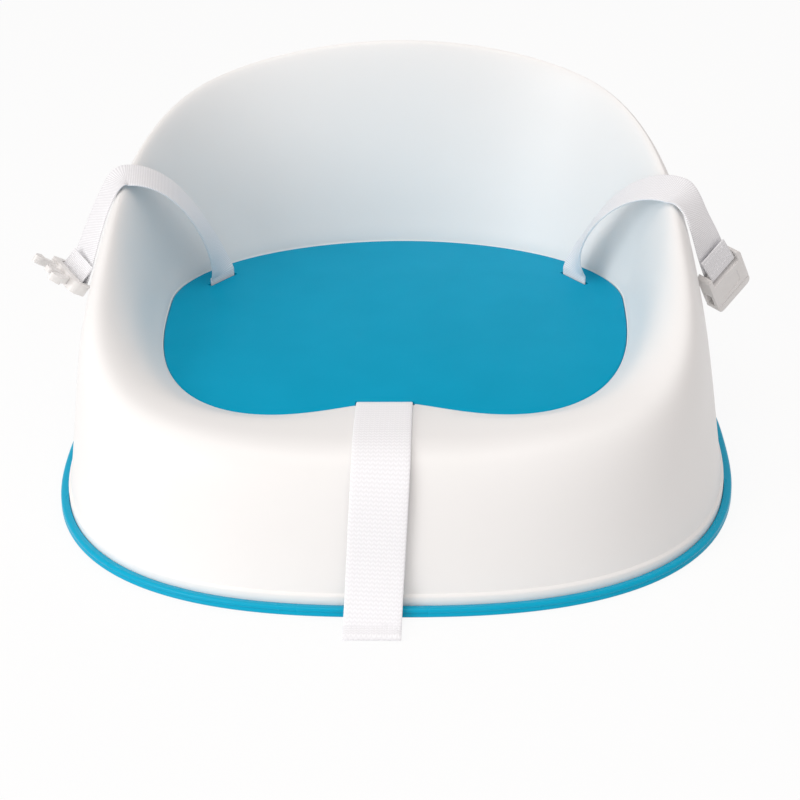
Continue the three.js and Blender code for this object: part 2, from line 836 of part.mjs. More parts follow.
function strapStop(width, x, y, z, turn) {
  const plate = solid(roundedPlate(width + STOP.spare, STOP.depth, STOP.thickness, STOP.depth / 4));
  const slot = block(width + SLOT_SPARE / 2, STOP.slot, STOP.thickness * 2, 0, 0, 0);
  const geometry = surface(plate.subtract(slot));
  geometry.rotateZ(turn * DEGREE);
  geometry.translate(x, y, z);
  return geometry;
}

// Buckle, with its webbing bar on X, its length on Y and its thickness on Z

function buckleFrame(length, thickness) {
  const width = LAP_WIDTH + (BUCKLE.clearance + BUCKLE.cheek) * 2;
  const total = BUCKLE.heel + BUCKLE.web + length;
  const shape = new THREE.Shape();
  const x = width / 2 - BUCKLE.bevel - BUCKLE.corner;
  const y = total / 2 - BUCKLE.bevel - BUCKLE.corner;
  shape.absarc(x, y, BUCKLE.corner, 0, Math.PI / 2);
  shape.absarc(-x, y, BUCKLE.corner, Math.PI / 2, Math.PI);
  shape.absarc(-x, -y, BUCKLE.corner, Math.PI, Math.PI * 1.5);
  shape.absarc(x, -y, BUCKLE.corner, Math.PI * 1.5, Math.PI * 2);
  const geometry = new THREE.ExtrudeGeometry(shape, {
    depth: thickness - BUCKLE.bevel * 2,
    bevelThickness: BUCKLE.bevel,
    bevelSize: BUCKLE.bevel,
    bevelSegments: 2,
    curveSegments: 3,
  });
  geometry.translate(0, total / 2 - BUCKLE.heel, BUCKLE.bevel - thickness / 2);
  const opening = LAP_WIDTH + BUCKLE.clearance * 2;
  const reachBack = BUCKLE.heel + BUCKLE.web;
  const frame = solid(geometry).subtract(
    block(opening, reachBack, thickness * 2, 0, BUCKLE.web - reachBack / 2, 0),
  );
  const bar = new THREE.CylinderGeometry(BUCKLE.bar, BUCKLE.bar, opening + BUCKLE.cheek, 12);
  bar.rotateZ(Math.PI / 2);
  return frame.add(solid(bar));
}

function buckleFemale() {
  const length = BUCKLE.femaleLength;
  const { mouth, window } = BUCKLE;
  const end = BUCKLE.web + length;
  const mouthBlock = block(mouth.width, mouth.depth * 2, mouth.height, 0, end, 0);
  const windowBlock = block(
    LAP_WIDTH * 2,
    window.length,
    window.height,
    0,
    end - mouth.depth + window.back,
    0,
  );
  return surface(buckleFrame(length, BUCKLE.femaleThickness).subtract(mouthBlock).subtract(windowBlock));
}

// One latch arm with its catch, drawn in plan from the shoulder
function latchArm(side) {
  const start = BUCKLE.web + BUCKLE.maleShoulder - 1;
  const tip = start + BUCKLE.armLength;
  const shape = new THREE.Shape();
  shape.moveTo(side * 7.4, start);
  shape.bezierCurveTo(side * 9.6, start + 6, side * 9.2, start + 8, side * 8.8, start + 9);
  shape.lineTo(side * 12.2, start + 10);
  shape.bezierCurveTo(side * 12.4, start + 13, side * 10.5, tip, side * 8.4, tip);
  shape.bezierCurveTo(side * 6.6, tip, side * 6.2, start + 12, side * 6.4, start + 9);
  shape.bezierCurveTo(side * 6.8, start + 6, side * 6, start + 2, side * 4.6, start);
  shape.closePath();
  const geometry = new THREE.ExtrudeGeometry(shape, {
    depth: BUCKLE.armThickness,
    bevelEnabled: false,
    curveSegments: 4,
  });
  geometry.translate(0, 0, -BUCKLE.armThickness / 2);
  return solid(geometry);
}

function buckleMale() {
  const { guide } = BUCKLE;
  const start = BUCKLE.web + BUCKLE.maleShoulder - 1;
  const body = buckleFrame(BUCKLE.maleShoulder, BUCKLE.maleThickness);
  const pin = block(guide.width, guide.length, guide.thickness, 0, start + guide.length / 2, 0);
  return surface(body.add(pin).add(latchArm(1)).add(latchArm(-1)));
}

// Matrix that sets a buckle half on its strap's loop
function buckleSeat(frame) {
  const radius = BUCKLE.bar + STRAP_GAP + WEBBING / 2;
  const swing = frame.swing * DEGREE;
  const length = frame.endAlong.clone().multiplyScalar(Math.cos(swing))
    .addScaledVector(frame.endOut, Math.sin(swing));
  const out = frame.endAcross.clone().cross(length);
  const bar = frame.end.clone().addScaledVector(frame.endOut, radius);
  return new THREE.Matrix4().makeBasis(frame.endAcross, length, out).setPosition(bar);
}

// Assembly

const lapRight = lapFrame('right');
const lapLeft = lapFrame('left');
const floorBottom = DECK_Z - PAD_DEPTH - WALL;
const stopZ = floorBottom - STRAP_GAP - STOP.thickness / 2;
const frontStopZ = COLLAR_Z - STRAP_GAP - STOP.thickness / 2;

const finishes = {
  shell: { color: 0xf2f2f0, roughness: 0.42 },
  pad: { color: 0x0794bd, roughness: 0.55 },
  ring: { color: 0x1b95c9, roughness: 0.6 },
  webbing: { color: 0xf4f4f8, roughness: 0.9 },
  fitting: { color: 0xf0efee, roughness: 0.35 },
};

const group = new THREE.Group();

function add(name, geometry, finish, matrix) {
  const material = new THREE.MeshStandardMaterial({ ...finishes[finish], metalness: 0 });
  const mesh = new THREE.Mesh(geometry, material);
  mesh.name = name;
  if (matrix) {
    mesh.applyMatrix4(matrix);
  }
  group.add(mesh);
}

add('seat_shell', seatShell(), 'shell');
add('base_ring', baseRing(), 'ring');
add('seat_pad', seatPad(), 'pad');
add('lap_strap_right', band(lapInnerStations(lapRight), LAP_WIDTH), 'webbing');
add('lap_strap_right_hanging', band(lapHangStations(lapRight), LAP_WIDTH), 'webbing');
add('lap_strap_left', band(lapInnerStations(lapLeft), LAP_WIDTH), 'webbing');
add('lap_strap_left_hanging', band(lapHangStations(lapLeft), LAP_WIDTH), 'webbing');
add('crotch_strap', band(crotchInnerStations(), CROTCH_WIDTH), 'webbing');
add('crotch_strap_hanging', band(crotchHangStations(), CROTCH_WIDTH), 'webbing');
add('strap_stop_right', strapStop(LAP_WIDTH, LAP_SLOT.x, LAP_SLOT.y, stopZ, LAP_SLOT.turn), 'fitting');
add('strap_stop_left', strapStop(LAP_WIDTH, -LAP_SLOT.x, LAP_SLOT.y, stopZ, -LAP_SLOT.turn), 'fitting');
add('strap_stop_front', strapStop(CROTCH_WIDTH, CROTCH_X, crotchStrapY(), frontStopZ, 0), 'fitting');
add('buckle_female', buckleFemale(), 'fitting', buckleSeat(lapRight));
add('buckle_male', buckleMale(), 'fitting', buckleSeat(lapLeft));

// The origin lies under the middle of everything, with the crotch strap's tail counted in
group.position.y = -(CROTCH_TAIL_Y + FOOT.back + RING_PROUD) / 2;

export default group;
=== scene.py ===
import math

import bmesh
import bpy
from bpy.props import FloatProperty, FloatVectorProperty, PointerProperty
from mathutils import Matrix, Vector


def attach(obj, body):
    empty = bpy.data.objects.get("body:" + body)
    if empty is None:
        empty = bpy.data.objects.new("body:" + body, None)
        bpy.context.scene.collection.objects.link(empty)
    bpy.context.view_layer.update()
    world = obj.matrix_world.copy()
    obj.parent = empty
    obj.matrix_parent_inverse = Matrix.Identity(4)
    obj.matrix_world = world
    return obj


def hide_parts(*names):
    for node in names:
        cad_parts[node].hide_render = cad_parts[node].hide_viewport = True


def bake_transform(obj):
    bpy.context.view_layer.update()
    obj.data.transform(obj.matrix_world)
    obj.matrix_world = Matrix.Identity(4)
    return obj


bl_info = {
    "name": "Chair booster seat",
    "version": (1, 0, 0),
    "blender": (4, 5, 0),
    "location": "3D View > Sidebar > Booster seat",
    "description": "Dresses the packed frame of a chair booster seat with its moulded shell, pad and harness",
    "category": "Object",
}

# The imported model, fixed in place
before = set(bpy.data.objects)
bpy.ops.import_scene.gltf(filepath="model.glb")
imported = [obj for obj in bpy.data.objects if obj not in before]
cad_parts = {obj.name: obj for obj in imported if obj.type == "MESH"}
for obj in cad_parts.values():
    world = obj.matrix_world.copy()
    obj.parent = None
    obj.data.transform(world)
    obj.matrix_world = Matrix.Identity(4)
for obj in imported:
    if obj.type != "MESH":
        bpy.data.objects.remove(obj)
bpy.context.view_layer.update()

# Millimetres to metres, and the shell's own middle line in the row frame
MM = 0.001
SHELL_MIDDLE_Y = 10.5

# Outlines seen from above
BUCKET_CENTRE_Y = 20
FOOT = {
    "centre_y": 0,
    "half_width": 188.4,
    "front": 168.7,
    "back": 168.4,
    "front_power": 2.65,
    "back_power": 2.65,
}
RIM = {
    "centre_y": -10,
    "half_width": 159.5,
    "front": 123,
    "back": 168,
    "front_power": 3.6,
    "back_power": 2.8,
}
PAD = {
    "centre_y": 40.4,
    "half_width": 134.2,
    "front": 178,
    "back": 89.5,
    "front_power": 2.59,
    "back_power": 1.95,
    "dip": 48.3,
    "dip_spread": 0.463,
}

# Shell
FOOT_Z = 3
FOOT_LIP = 1.5
FOOT_LIP_HEIGHT = 6
DECK_Z = 80
LIP_HEIGHT = 83
BACK_HEIGHT = 203
RIM_RISE = (
    (-90, 0), (-66, 0.0125), (-45, 0.1), (-28, 0.3),
    (-8, 0.4833), (12, 0.6125), (45, 0.875), (90, 1),
)
OUTER_ROLL = (8, 30)
INNER_ROLL = (6, 22)
WALL_DRAFT = 9
WALL_STRAIGHT = 0.45
BUCKET_FOOT_RUN = 10
BUCKET_FOOT_RISE = (28, 1.5)
RIB_THICKNESS = 2
RIB_DEPTH = 12
RIB_ROWS_Y = (-45, 15)
RIB_COLUMNS_X = (-28, 28)
CHAIR_SLOT = {"width": 48, "height": 12, "depth": 60, "x": 62, "z": 42}
COLLAR_WALL = 2.5
COLLAR_DEPTH = 20
DECK_EDGE_ROUND = 0.5
RECESS_SPARE = 0.2
RECESS_CORNER = 1
CUT_OVER = 10

# Pad and ring
PAD_DEPTH = 14
PAD_GAP = 0.4
PAD_PRESS = 0.45
PAD_EDGE_ROUND = 1.4
PAD_LOWER_EDGE = ((-1.2, 0), (-0.2, 1), (0, 3))
RING_HEIGHT = 5.2
RING_CREASE = 2.1
RING_WALL = 3
RING_INNER = 2
RING_INNER_EASE = 0.3
RING_SEAT_DROP = 1
RING_LIP_ROUND = 1.1
RING_BEAD_BACK = 0.1

# Webbing, with its stitched box and hem counted in stations from the strap's end
LAP_WIDTH = 20
CROTCH_WIDTH = 30
STRAP_GAP = 0.35
SLOT_SPARE = 2
SLOT_OPENING = 4.6
FOLD_RADIUS = 1.2
LAP_SLOT = {"x": 107.4, "y": 69.3, "turn": -52.6}
LAP_SLIT_SPARE = 1.3
LAP_LEAVES = 0.1
LAP_RETURN = 14
DECK_WALL = 3
STOP_THICKNESS = 2.6
STOP_TAIL = 6
CROTCH_X = -3
CROTCH_DRIFT = -5
CROTCH_TAIL_Y = -196
CROTCH_STAND_OFF = 2.5
CROTCH_BEND = 1.5
CROTCH_LIFT = 1.7
HEM = 10
STATION_SPACING = 0.8
STITCH_INSET = 1.6
STITCH_LIFT = 0.05
STITCH_SHARE = 0.82
STITCH_BOX = slice(-12, -2)
STITCH_HEM = (-3, -6)

# Each lap strap: its arch from slot to rim, its crossing of the rim, and the bar that it hangs to
LAPS = {
    "right": {
        "arch": {"straight": 4.6, "rise": 25, "reach": 35, "twist": 4.3},
        "crossing": {"bearing": 3.9, "heading": -38.3, "tilt": 29.8, "clear": 1.65, "roll": 15.4},
        "bar": {"bearing": -0.43, "drop": 35.8, "stand_off": 12.1},
        "heading": (0.34, 0.44, -0.83),
        "side_across": (0.635, 0.633, -0.281),
        "end_across": (0.6, 0.45, 0.66),
        "pull": 33.4,
        "swing": 0,
    },
    "left": {
        "arch": {"straight": 4.5, "rise": 7.8, "reach": 36.5, "twist": 2.5},
        "crossing": {"bearing": 9.9, "heading": -10.7, "tilt": 16.3, "clear": 1, "roll": 13.5},
        "bar": {"bearing": -2.01, "drop": 39.5, "stand_off": 11.4},
        "heading": (-0.5, -0.06, -0.86),
        "side_across": (-0.48, 0.665, -0.148),
        "end_across": (-0.619, 0.715, 0.316),
        "pull": 15.3,
        "swing": 102,
    },
}

# Buckle
BUCKLE_BAR = 1.7
BUCKLE_HEEL = 3
BUCKLE_WEB = 4.4
BUCKLE_CLEARANCE = 1
BUCKLE_CHEEK = 3
BUCKLE_CORNER = 3.5
BUCKLE_OVERCUT = 9
FEMALE = {"length": 23, "thickness": 9.5, "ease": 0.55}
MALE = {"shoulder": 6, "thickness": 7, "root": 1, "ease": 0.4}
GUIDE = {"width": 5, "start": -2, "end": 13, "corner": 1.6, "thickness": 3}
ARM_THICKNESS = 4.4
MOUTH = {"width": 20.5, "depth": 17, "height": 6}
WINDOW = {"length": 9, "height": 4.6, "back": 6}
PANEL = {"half_width": 7.5, "start": 3.5, "end": 8, "corner": 2.5, "depth": 0.9}
GRIP_STEP = {"start": 5.5, "end": 4.7, "depth": 0.45}

# Latch arm's outline as curves of (distance from the buckle's middle line, distance from the arm's root)
ARM_CURVES = (
    ((7.4, 0), (9.6, 6), (9.2, 8), (8.8, 9)),
    ((12.2, 10), (12.4, 13), (10.5, 17), (8.4, 17)),
    ((8.4, 17), (6.6, 17), (6.2, 12), (6.4, 9)),
    ((6.4, 9), (6.8, 6), (6, 2), (4.6, 0)),
)

# Steps of the fine meshes
STEPS_ROUND = 288
STEPS_WALL = 22
STEPS_HOLLOW = 8
STEPS_RIB_SPACE = 96
STEPS_PAD = 26
STEPS_STRAIGHT = 14
STEPS_ARCH = 48
STEPS_HANG = 54
STEPS_BAR = 16
STEPS_RISE = 10
STEPS_BEND = 8
STEPS_FALL = 24
STEPS_HEM = 6
STEPS_ARM = 8
STEPS_CORNER = 6
BAND_COLUMNS = 12

# Stage in metres, and in millimetres the circle under the seat where the floor shows its own shade
FLOOR_HALF = 6.0
FLOOR_WHITE = 0.9
UNDER_SEAT = 160
ROUND_COLOUR = (1, 0.955, 0.945)
LAMP_SIZE = 1.2
LAMP_AIM = (0, 0, 0.08)
LAMPS = {
    "key": {"place": (-1.4, -1.18, 0.75), "colour": (1, 1, 1)},
    "overhead": {"place": (-0.26, -0.7, 1.93), "colour": (1, 0.93, 0.88)},
}

# Camera at the photograph's angle
CAMERA = {
    "place": (0.031845, -0.925534, 0.531319),
    "right": (0.9996, 0.0239, -0.0145),
    "up": (0.0016, 0.4697, 0.8828),
    "lens": 81,
    "sensor": 36,
}


# Sizes and colours that a user may change

def length_setting(name, description, default, **limits):
    return FloatProperty(name=name, description=description, default=default, unit="LENGTH", **limits)


def power_setting(name, description, default):
    return FloatProperty(name=name, description=description, default=default, unit="POWER")


def colour_setting(name, description, default):
    return FloatVectorProperty(name=name, description=description, default=default, subtype="COLOR")


class ShellSettings(bpy.types.PropertyGroup):
    wall: length_setting("Wall", "Thickness of the moulded wall", 0.003, min=0.0015, max=0.005)
    colour: colour_setting("Colour", "Colour of the moulded shell", (0.895, 0.895, 0.888))
    grain: length_setting("Grain", "Size of the moulded surface's fine grain", 0.0011)
    ring_colour: colour_setting("Ring colour", "Colour of the soft base ring", (0.0, 0.4, 0.62))
    ring_proud: length_setting("Ring proud", "How far the ring stands out from the shell's foot", 0.0066)


class PadSettings(bpy.types.PropertyGroup):
    crown: length_setting("Crown", "Rise of the pad's middle over its edge", 0.0025, max=0.003)
    colour: colour_setting("Colour", "Colour of the foam pad's skin", (0.0, 0.36, 0.585))
    grain: length_setting("Grain", "Size of the foam skin's grain", 0.0016)


class HarnessSettings(bpy.types.PropertyGroup):
    thickness: length_setting("Webbing", "Thickness of the webbing", 0.0013, min=0.0008, max=0.0016)
    rib_pitch: length_setting("Rib pitch", "Distance between the lap webbing's cross ribs", 0.001)
    chevron_pitch: length_setting("Chevron pitch", "Distance between the crotch webbing's chevrons", 0.0023)
    colour: colour_setting("Webbing colour", "Colour of the webbing", (0.96, 0.97, 1.0))
    fitting_colour: colour_setting("Fitting colour", "Colour of buckle and stops", (0.8, 0.79, 0.78))
    stitch_length: length_setting("Stitch", "Length of one stitch", 0.0022)
    thread: length_setting("Thread", "Thickness of the sewing thread", 0.00045)


class StageSettings(bpy.types.PropertyGroup):
    key: power_setting("Key", "Power of the main soft light", 14.2)
    overhead: power_setting("Overhead", "Power of the soft light above", 10.0)
    fill: FloatProperty(name="Fill", description="Strength of the light from all round", default=0.6)
    floor_colour: colour_setting("Floor", "Colour of the floor", (0.9, 0.9, 0.9))


# Curves and outlines

def mix(a, b, t):
    return a + (b - a) * t


def smooth(t):
    return t * t * (3 - 2 * t)


def bezier(points, t):
    s = 1 - t
    weights = (s * s * s, 3 * s * s * t, 3 * s * t * t, t * t * t)
    total = points[0] * weights[0]
    for point, weight in zip(points[1:], weights[1:]):
        total = total + point * weight
    return total


def arc(x, y, radius, start, end, steps):
    """Points of an arc about a centre, between two angles in degrees."""
    made = []
    for i in range(steps + 1):
        angle = math.radians(mix(start, end, i / steps))
        made.append((x + radius * math.cos(angle), y + radius * math.sin(angle)))
    return made


def outline_radius(outline, angle):
    forward = math.sin(angle) < 0
    depth = outline["front"] if forward else outline["back"]
    power = outline["front_power"] if forward else outline["back_power"]
    across = abs(math.cos(angle) / outline["half_width"]) ** power
    along = abs(math.sin(angle) / depth) ** power
    from_front = math.atan2(math.cos(angle), -math.sin(angle))
    dip = outline.get("dip", 0) * math.exp(-((from_front / outline.get("dip_spread", 1)) ** 2))
    return (across + along) ** (-1 / power) - dip


def reach(outline, bearing):
    """Distance from the bucket's centre to an outline, along a bearing."""
    inside, outside = 0.0, 400.0
    for _ in range(32):
        middle = (inside + outside) / 2
        x = math.cos(bearing) * middle
        y = math.sin(bearing) * middle + BUCKET_CENTRE_Y - outline["centre_y"]
        if math.hypot(x, y) < outline_radius(outline, math.atan2(y, x)):
            inside = middle
        else:
            outside = middle
    return inside


def rim_height(bearing):
    """Height of the rim's crest at a bearing, by a smooth curve through the shares of its rise."""
    folded = math.degrees(math.atan2(math.sin(bearing), abs(math.cos(bearing))))
    last = len(RIM_RISE) - 1

    def slope(i):
        if i in (0, last):
            return 0
        before, after = RIM_RISE[i - 1], RIM_RISE[i + 1]
        return (after[1] - before[1]) / (after[0] - before[0])

    i = 0
    while i < last - 1 and folded > RIM_RISE[i + 1][0]:
        i += 1
    span = RIM_RISE[i + 1][0] - RIM_RISE[i][0]
    t = min(max((folded - RIM_RISE[i][0]) / span, 0), 1)
    rise = RIM_RISE[i + 1][1] - RIM_RISE[i][1]
    start, end = slope(i) * span, slope(i + 1) * span
    share = (RIM_RISE[i][1] + start * t + (3 * rise - 2 * start - end) * t * t
             + (start + end - 2 * rise) * t * t * t)
    return mix(LIP_HEIGHT, BACK_HEIGHT, share)


def lowness(bearing):
    """1 where the rim is lowest, at the front lip, and 0 at the top of the back."""
    return 1 - (rim_height(bearing) - LIP_HEIGHT) / (BACK_HEIGHT - LIP_HEIGHT)


def polar(bearing, radius, z):
    return Vector((math.cos(bearing) * radius, math.sin(bearing) * radius + BUCKET_CENTRE_Y, z))


def centre_point(z):
    return Vector((0, BUCKET_CENTRE_Y, z))


def bearings(count=STEPS_ROUND):
    return [math.radians(i / count * 360 - 90) for i in range(count)]


def skin_section(bearing, steps=STEPS_WALL):
    """Shell's skin at a bearing, from its foot over the rim down to the deck, as (distance, height)."""
    rim = reach(RIM, bearing)
    deck = reach(PAD, bearing) + PAD_GAP
    height = rim_height(bearing)
    low = lowness(bearing)
    inner_roll = mix(INNER_ROLL[0], INNER_ROLL[1], low * low)
    foot_rise = mix(BUCKET_FOOT_RISE[0], BUCKET_FOOT_RISE[1], low)
    outer = outer_wall(bearing)
    inner = [
        Vector((rim, height)),
        Vector((rim - inner_roll, height)),
        Vector((deck + BUCKET_FOOT_RUN, DECK_Z + foot_rise)),
        Vector((deck, DECK_Z)),
    ]
    points = [bezier(outer, i / steps) for i in range(steps)]
    return points + [bezier(inner, i / steps) for i in range(steps + 1)]


def inward_section(bearing, depth):
    """The same section in coarser steps, moved into the material by a depth."""
    skin = skin_section(bearing, STEPS_HOLLOW)
    moved = []
    for i, point in enumerate(skin):
        before = skin[max(i - 1, 0)]
        after = skin[min(i + 1, len(skin) - 1)]
        along = (after - before).normalized()
        moved.append(Vector((point.x - along.y * depth, point.y + along.x * depth)))
    return moved


def outer_wall(bearing):
    """The four points of the outer wall's curve, as (distance, height)."""
    foot = reach(FOOT, bearing)
    rim = reach(RIM, bearing)
    height = rim_height(bearing)
    roll = mix(OUTER_ROLL[0], OUTER_ROLL[1], lowness(bearing) ** 3)
    wall_foot = FOOT_Z + FOOT_LIP_HEIGHT + FOOT_LIP
    return [
        Vector((foot, wall_foot)),
        Vector((foot - WALL_DRAFT, mix(wall_foot, height, WALL_STRAIGHT))),
        Vector((rim + roll, height)),
        Vector((rim, height)),
    ]


def wall_reach(bearing, z):
    """Distance from the bucket's centre to the outer wall at a height."""
    curve = outer_wall(bearing)
    low, high = 0.0, 1.0
    for _ in range(30):
        middle = (low + high) / 2
        if bezier(curve, middle).y < z:
            low = middle
        else:
            high = middle
    return bezier(curve, low).x


# Meshes

def row_point(point):
    return Vector((point.x * MM, (point.y + SHELL_MIDDLE_Y) * MM, point.z * MM))


def loft(rings, start=None, end=None):
    """Points and faces of a skin over equal closed rings, with a fan on each end that has a middle point."""
    around = len(rings[0])
    points = [point for ring in rings for point in ring]
    faces = []
    for j in range(len(rings) - 1):
        low, high = j * around, (j + 1) * around
        for i in range(around):
            n = (i + 1) % around
            faces.append((low + i, low + n, high + n, high + i))
    if start is not None:
        points.append(start)
        faces += [((i + 1) % around, i, len(points) - 1) for i in range(around)]
    if end is not None:
        points.append(end)
        top = (len(rings) - 1) * around
        faces += [(top + i, top + (i + 1) % around, len(points) - 1) for i in range(around)]
    return points, faces


def face_outwards(mesh):
    bm = bmesh.new()
    bm.from_mesh(mesh)
    if bm.calc_volume(signed=True) < 0:
        bmesh.ops.reverse_faces(bm, faces=bm.faces)
    bm.to_mesh(mesh)
    bm.free()


def new_object(name, mesh):
    piece = bpy.data.objects.new(name, mesh)
    bpy.context.scene.collection.objects.link(piece)
    return piece


def new_piece(name, points, faces):
    mesh = bpy.data.meshes.new(name)
    mesh.from_pydata([row_point(p) for p in points], [], faces)
    face_outwards(mesh)
    return new_object(name, mesh)


def box_piece(name, size, middle, turn=0.0):
    """Block with its size and middle in millimetres in the shell's frame, turned about its upright axis."""
    mesh = bpy.data.meshes.new(name)
    bm = bmesh.new()
    bmesh.ops.create_cube(bm, size=1)
    bmesh.ops.scale(bm, vec=Vector(size) * MM, verts=bm.verts)
    turned = Matrix.Rotation(math.radians(turn), 3, "Z")
    bmesh.ops.rotate(bm, cent=Vector(), matrix=turned, verts=bm.verts)
    bmesh.ops.translate(bm, vec=row_point(Vector(middle)), verts=bm.verts)
    bm.to_mesh(mesh)
    bm.free()
    return new_object(name, mesh)


def baked(piece):
    """Replaces a piece's mesh by its evaluated one and drops its modifiers."""
    graph = bpy.context.evaluated_depsgraph_get()
    mesh = bpy.data.meshes.new_from_object(piece.evaluated_get(graph))
    old = piece.data
    piece.modifiers.clear()
    piece.data = mesh
    mesh.name = piece.name
    bpy.data.meshes.remove(old)


def combine(piece, tool, operation):
    modifier = piece.modifiers.new("combine", "BOOLEAN")
    modifier.operation = operation
    modifier.solver = "EXACT"
    modifier.object = tool
    baked(piece)
    bpy.data.objects.remove(tool)
    return piece


def joined(name, pieces):
    bm = bmesh.new()
    for piece in pieces:
        bm.from_mesh(piece.data)
    mesh = bpy.data.meshes.new(name)
    bm.to_mesh(mesh)
    bm.free()
    for piece in pieces:
        bpy.data.objects.remove(piece)
    return new_object(name, mesh)


def finished(piece, material, angle=32):
    """Smooth shading with sharp edges kept, and the piece's one material."""
    piece.data.materials.clear()
    piece.data.materials.append(material)
    for polygon in piece.data.polygons:
        polygon.use_smooth = True
        polygon.material_index = 0
    piece.data.set_sharp_from_angle(angle=math.radians(angle))


# Materials, with the groups that they share

def socket(group, name, in_out, kind, default=None):
    made = group.interface.new_socket(name=name, in_out=in_out, socket_type=kind)
    if default is not None:
        made.default_value = default


def feed(tree, target, value):
    """Gives an input a value or links another node's output to it."""
    if isinstance(value, bpy.types.NodeSocket):
        tree.links.new(value, target)
    else:
        target.default_value = value


def set_inputs(tree, node, **inputs):
    for name, value in inputs.items():
        feed(tree, node.inputs[name.replace("_", " ")], value)


def new_node(tree, kind, **inputs):
    node = tree.nodes.new(kind)
    set_inputs(tree, node, **inputs)
    return node


def math_node(tree, operation, *values):
    node = tree.nodes.new("ShaderNodeMath")
    node.operation = operation
    for target, value in zip(node.inputs, values):
        feed(tree, target, value)
    return node.outputs[0]


def float_group(name, inputs, outputs):
    """New shader node group with number sockets, and its input and output nodes."""
    group = bpy.data.node_groups.new(name, "ShaderNodeTree")
    for key, default in inputs.items():
        socket(group, key, "INPUT", "NodeSocketFloat", default)
    for key in outputs:
        socket(group, key, "OUTPUT", "NodeSocketFloat")
    return group, group.nodes.new("NodeGroupInput"), group.nodes.new("NodeGroupOutput")


def moulded_surface_group():
    """Fine moulded grain with slow unevenness: a height, and a mask that varies slowly over the piece."""
    name = "Moulded surface"
    if name in bpy.data.node_groups:
        return bpy.data.node_groups[name]
    group, start, end = float_group(name, {"Grain size": 0.001, "Patch size": 0.05}, ("Height", "Patches"))
    place = group.nodes.new("ShaderNodeTexCoord").outputs["Object"]
    for size, detail, output in (("Grain size", 3, "Height"), ("Patch size", 2, "Patches")):
        scale = math_node(group, "DIVIDE", 1.0, start.outputs[size])
        texture = new_node(group, "ShaderNodeTexNoise", Vector=place, Scale=scale, Detail=detail)
        group.links.new(texture.outputs["Fac"], end.inputs[output])
    return group


def edge_wear_group():
    """Mask that is 1 along worn outer edges and 0 on flats and in corners."""
    name = "Edge wear"
    if name in bpy.data.node_groups:
        return bpy.data.node_groups[name]
    group, start, end = float_group(name, {"Sharpness": 0.6}, ("Mask",))
    geometry = group.nodes.new("ShaderNodeNewGeometry")
    edge = math_node(group, "SUBTRACT", geometry.outputs["Pointiness"], 0.5)
    edge = math_node(group, "MULTIPLY", edge, start.outputs["Sharpness"])
    edge = math_node(group, "MULTIPLY", edge, 12.0)
    low = math_node(group, "MAXIMUM", edge, 0.0)
    group.links.new(math_node(group, "MINIMUM", low, 1.0), end.inputs["Mask"])
    return group


def webbing_weave_group():
    """Woven ribs and chevrons on the band's own map, whose units are metres across and along."""
    name = "Webbing weave"
    if name in bpy.data.node_groups:
        return bpy.data.node_groups[name]
    pitches = {"Rib pitch": 0.001, "Yarn pitch": 0.0013, "Chevron": 0.5}
    group, start, end = float_group(name, pitches, ("Height", "Gaps"))
    uv = group.nodes.new("ShaderNodeUVMap")
    uv.uv_map = "band"
    parts = new_node(group, "ShaderNodeSeparateXYZ", Vector=uv.outputs["UV"])
    along = math_node(group, "DIVIDE", parts.outputs["Y"], start.outputs["Rib pitch"])
    across = math_node(group, "DIVIDE", parts.outputs["X"], start.outputs["Yarn pitch"])
    zigzag = math_node(group, "PINGPONG", across, 1.0)
    zigzag = math_node(group, "MULTIPLY", zigzag, start.outputs["Chevron"])
    phase = math_node(group, "ADD", along, zigzag)
    rib = math_node(group, "SINE", math_node(group, "MULTIPLY", phase, 2 * math.pi))
    rib = math_node(group, "MULTIPLY", math_node(group, "ADD", rib, 1.0), 0.5)
    yarn = math_node(group, "SINE", math_node(group, "MULTIPLY", across, math.pi))
    yarn = math_node(group, "ABSOLUTE", yarn)
    yarn = math_node(group, "ADD", math_node(group, "MULTIPLY", yarn, 0.6), 0.4)
    weave = math_node(group, "MULTIPLY", rib, yarn)
    group.links.new(weave, end.inputs["Height"])
    # Gaps is 1 between the yarns and carries painted shade into the webbing's colour
    group.links.new(math_node(group, "SUBTRACT", 1.0, weave), end.inputs["Gaps"])
    return group


def use_group(tree, group, **inputs):
    node = tree.nodes.new("ShaderNodeGroup")
    node.node_tree = group
    set_inputs(tree, node, **inputs)
    return node


def new_material(name, roughness):
    material = bpy.data.materials.new(name)
    material.use_nodes = True
    shader = material.node_tree.nodes["Principled BSDF"]
    shader.inputs["Roughness"].default_value = roughness
    return material, material.node_tree, shader


def varied(tree, factor, low, high, shader):
    """Roughness that moves between two limits with a factor."""
    node = new_node(tree, "ShaderNodeMapRange", Value=factor, To_Min=low, To_Max=high)
    tree.links.new(node.outputs["Result"], shader.inputs["Roughness"])


def tinted(tree, factor, colour, share, shader):
    """Base colour that goes over to a share of itself with a factor."""
    node = tree.nodes.new("ShaderNodeMix")
    node.data_type = "RGBA"
    node.inputs["A"].default_value = (*colour, 1)
    node.inputs["B"].default_value = (*(channel * share for channel in colour), 1)
    tree.links.new(factor, node.inputs["Factor"])
    tree.links.new(node.outputs["Result"], shader.inputs["Base Color"])


def bumped(tree, height, distance, strength, shader):
    node = new_node(tree, "ShaderNodeBump", Height=height, Distance=distance, Strength=strength)
    tree.links.new(node.outputs["Normal"], shader.inputs["Normal"])


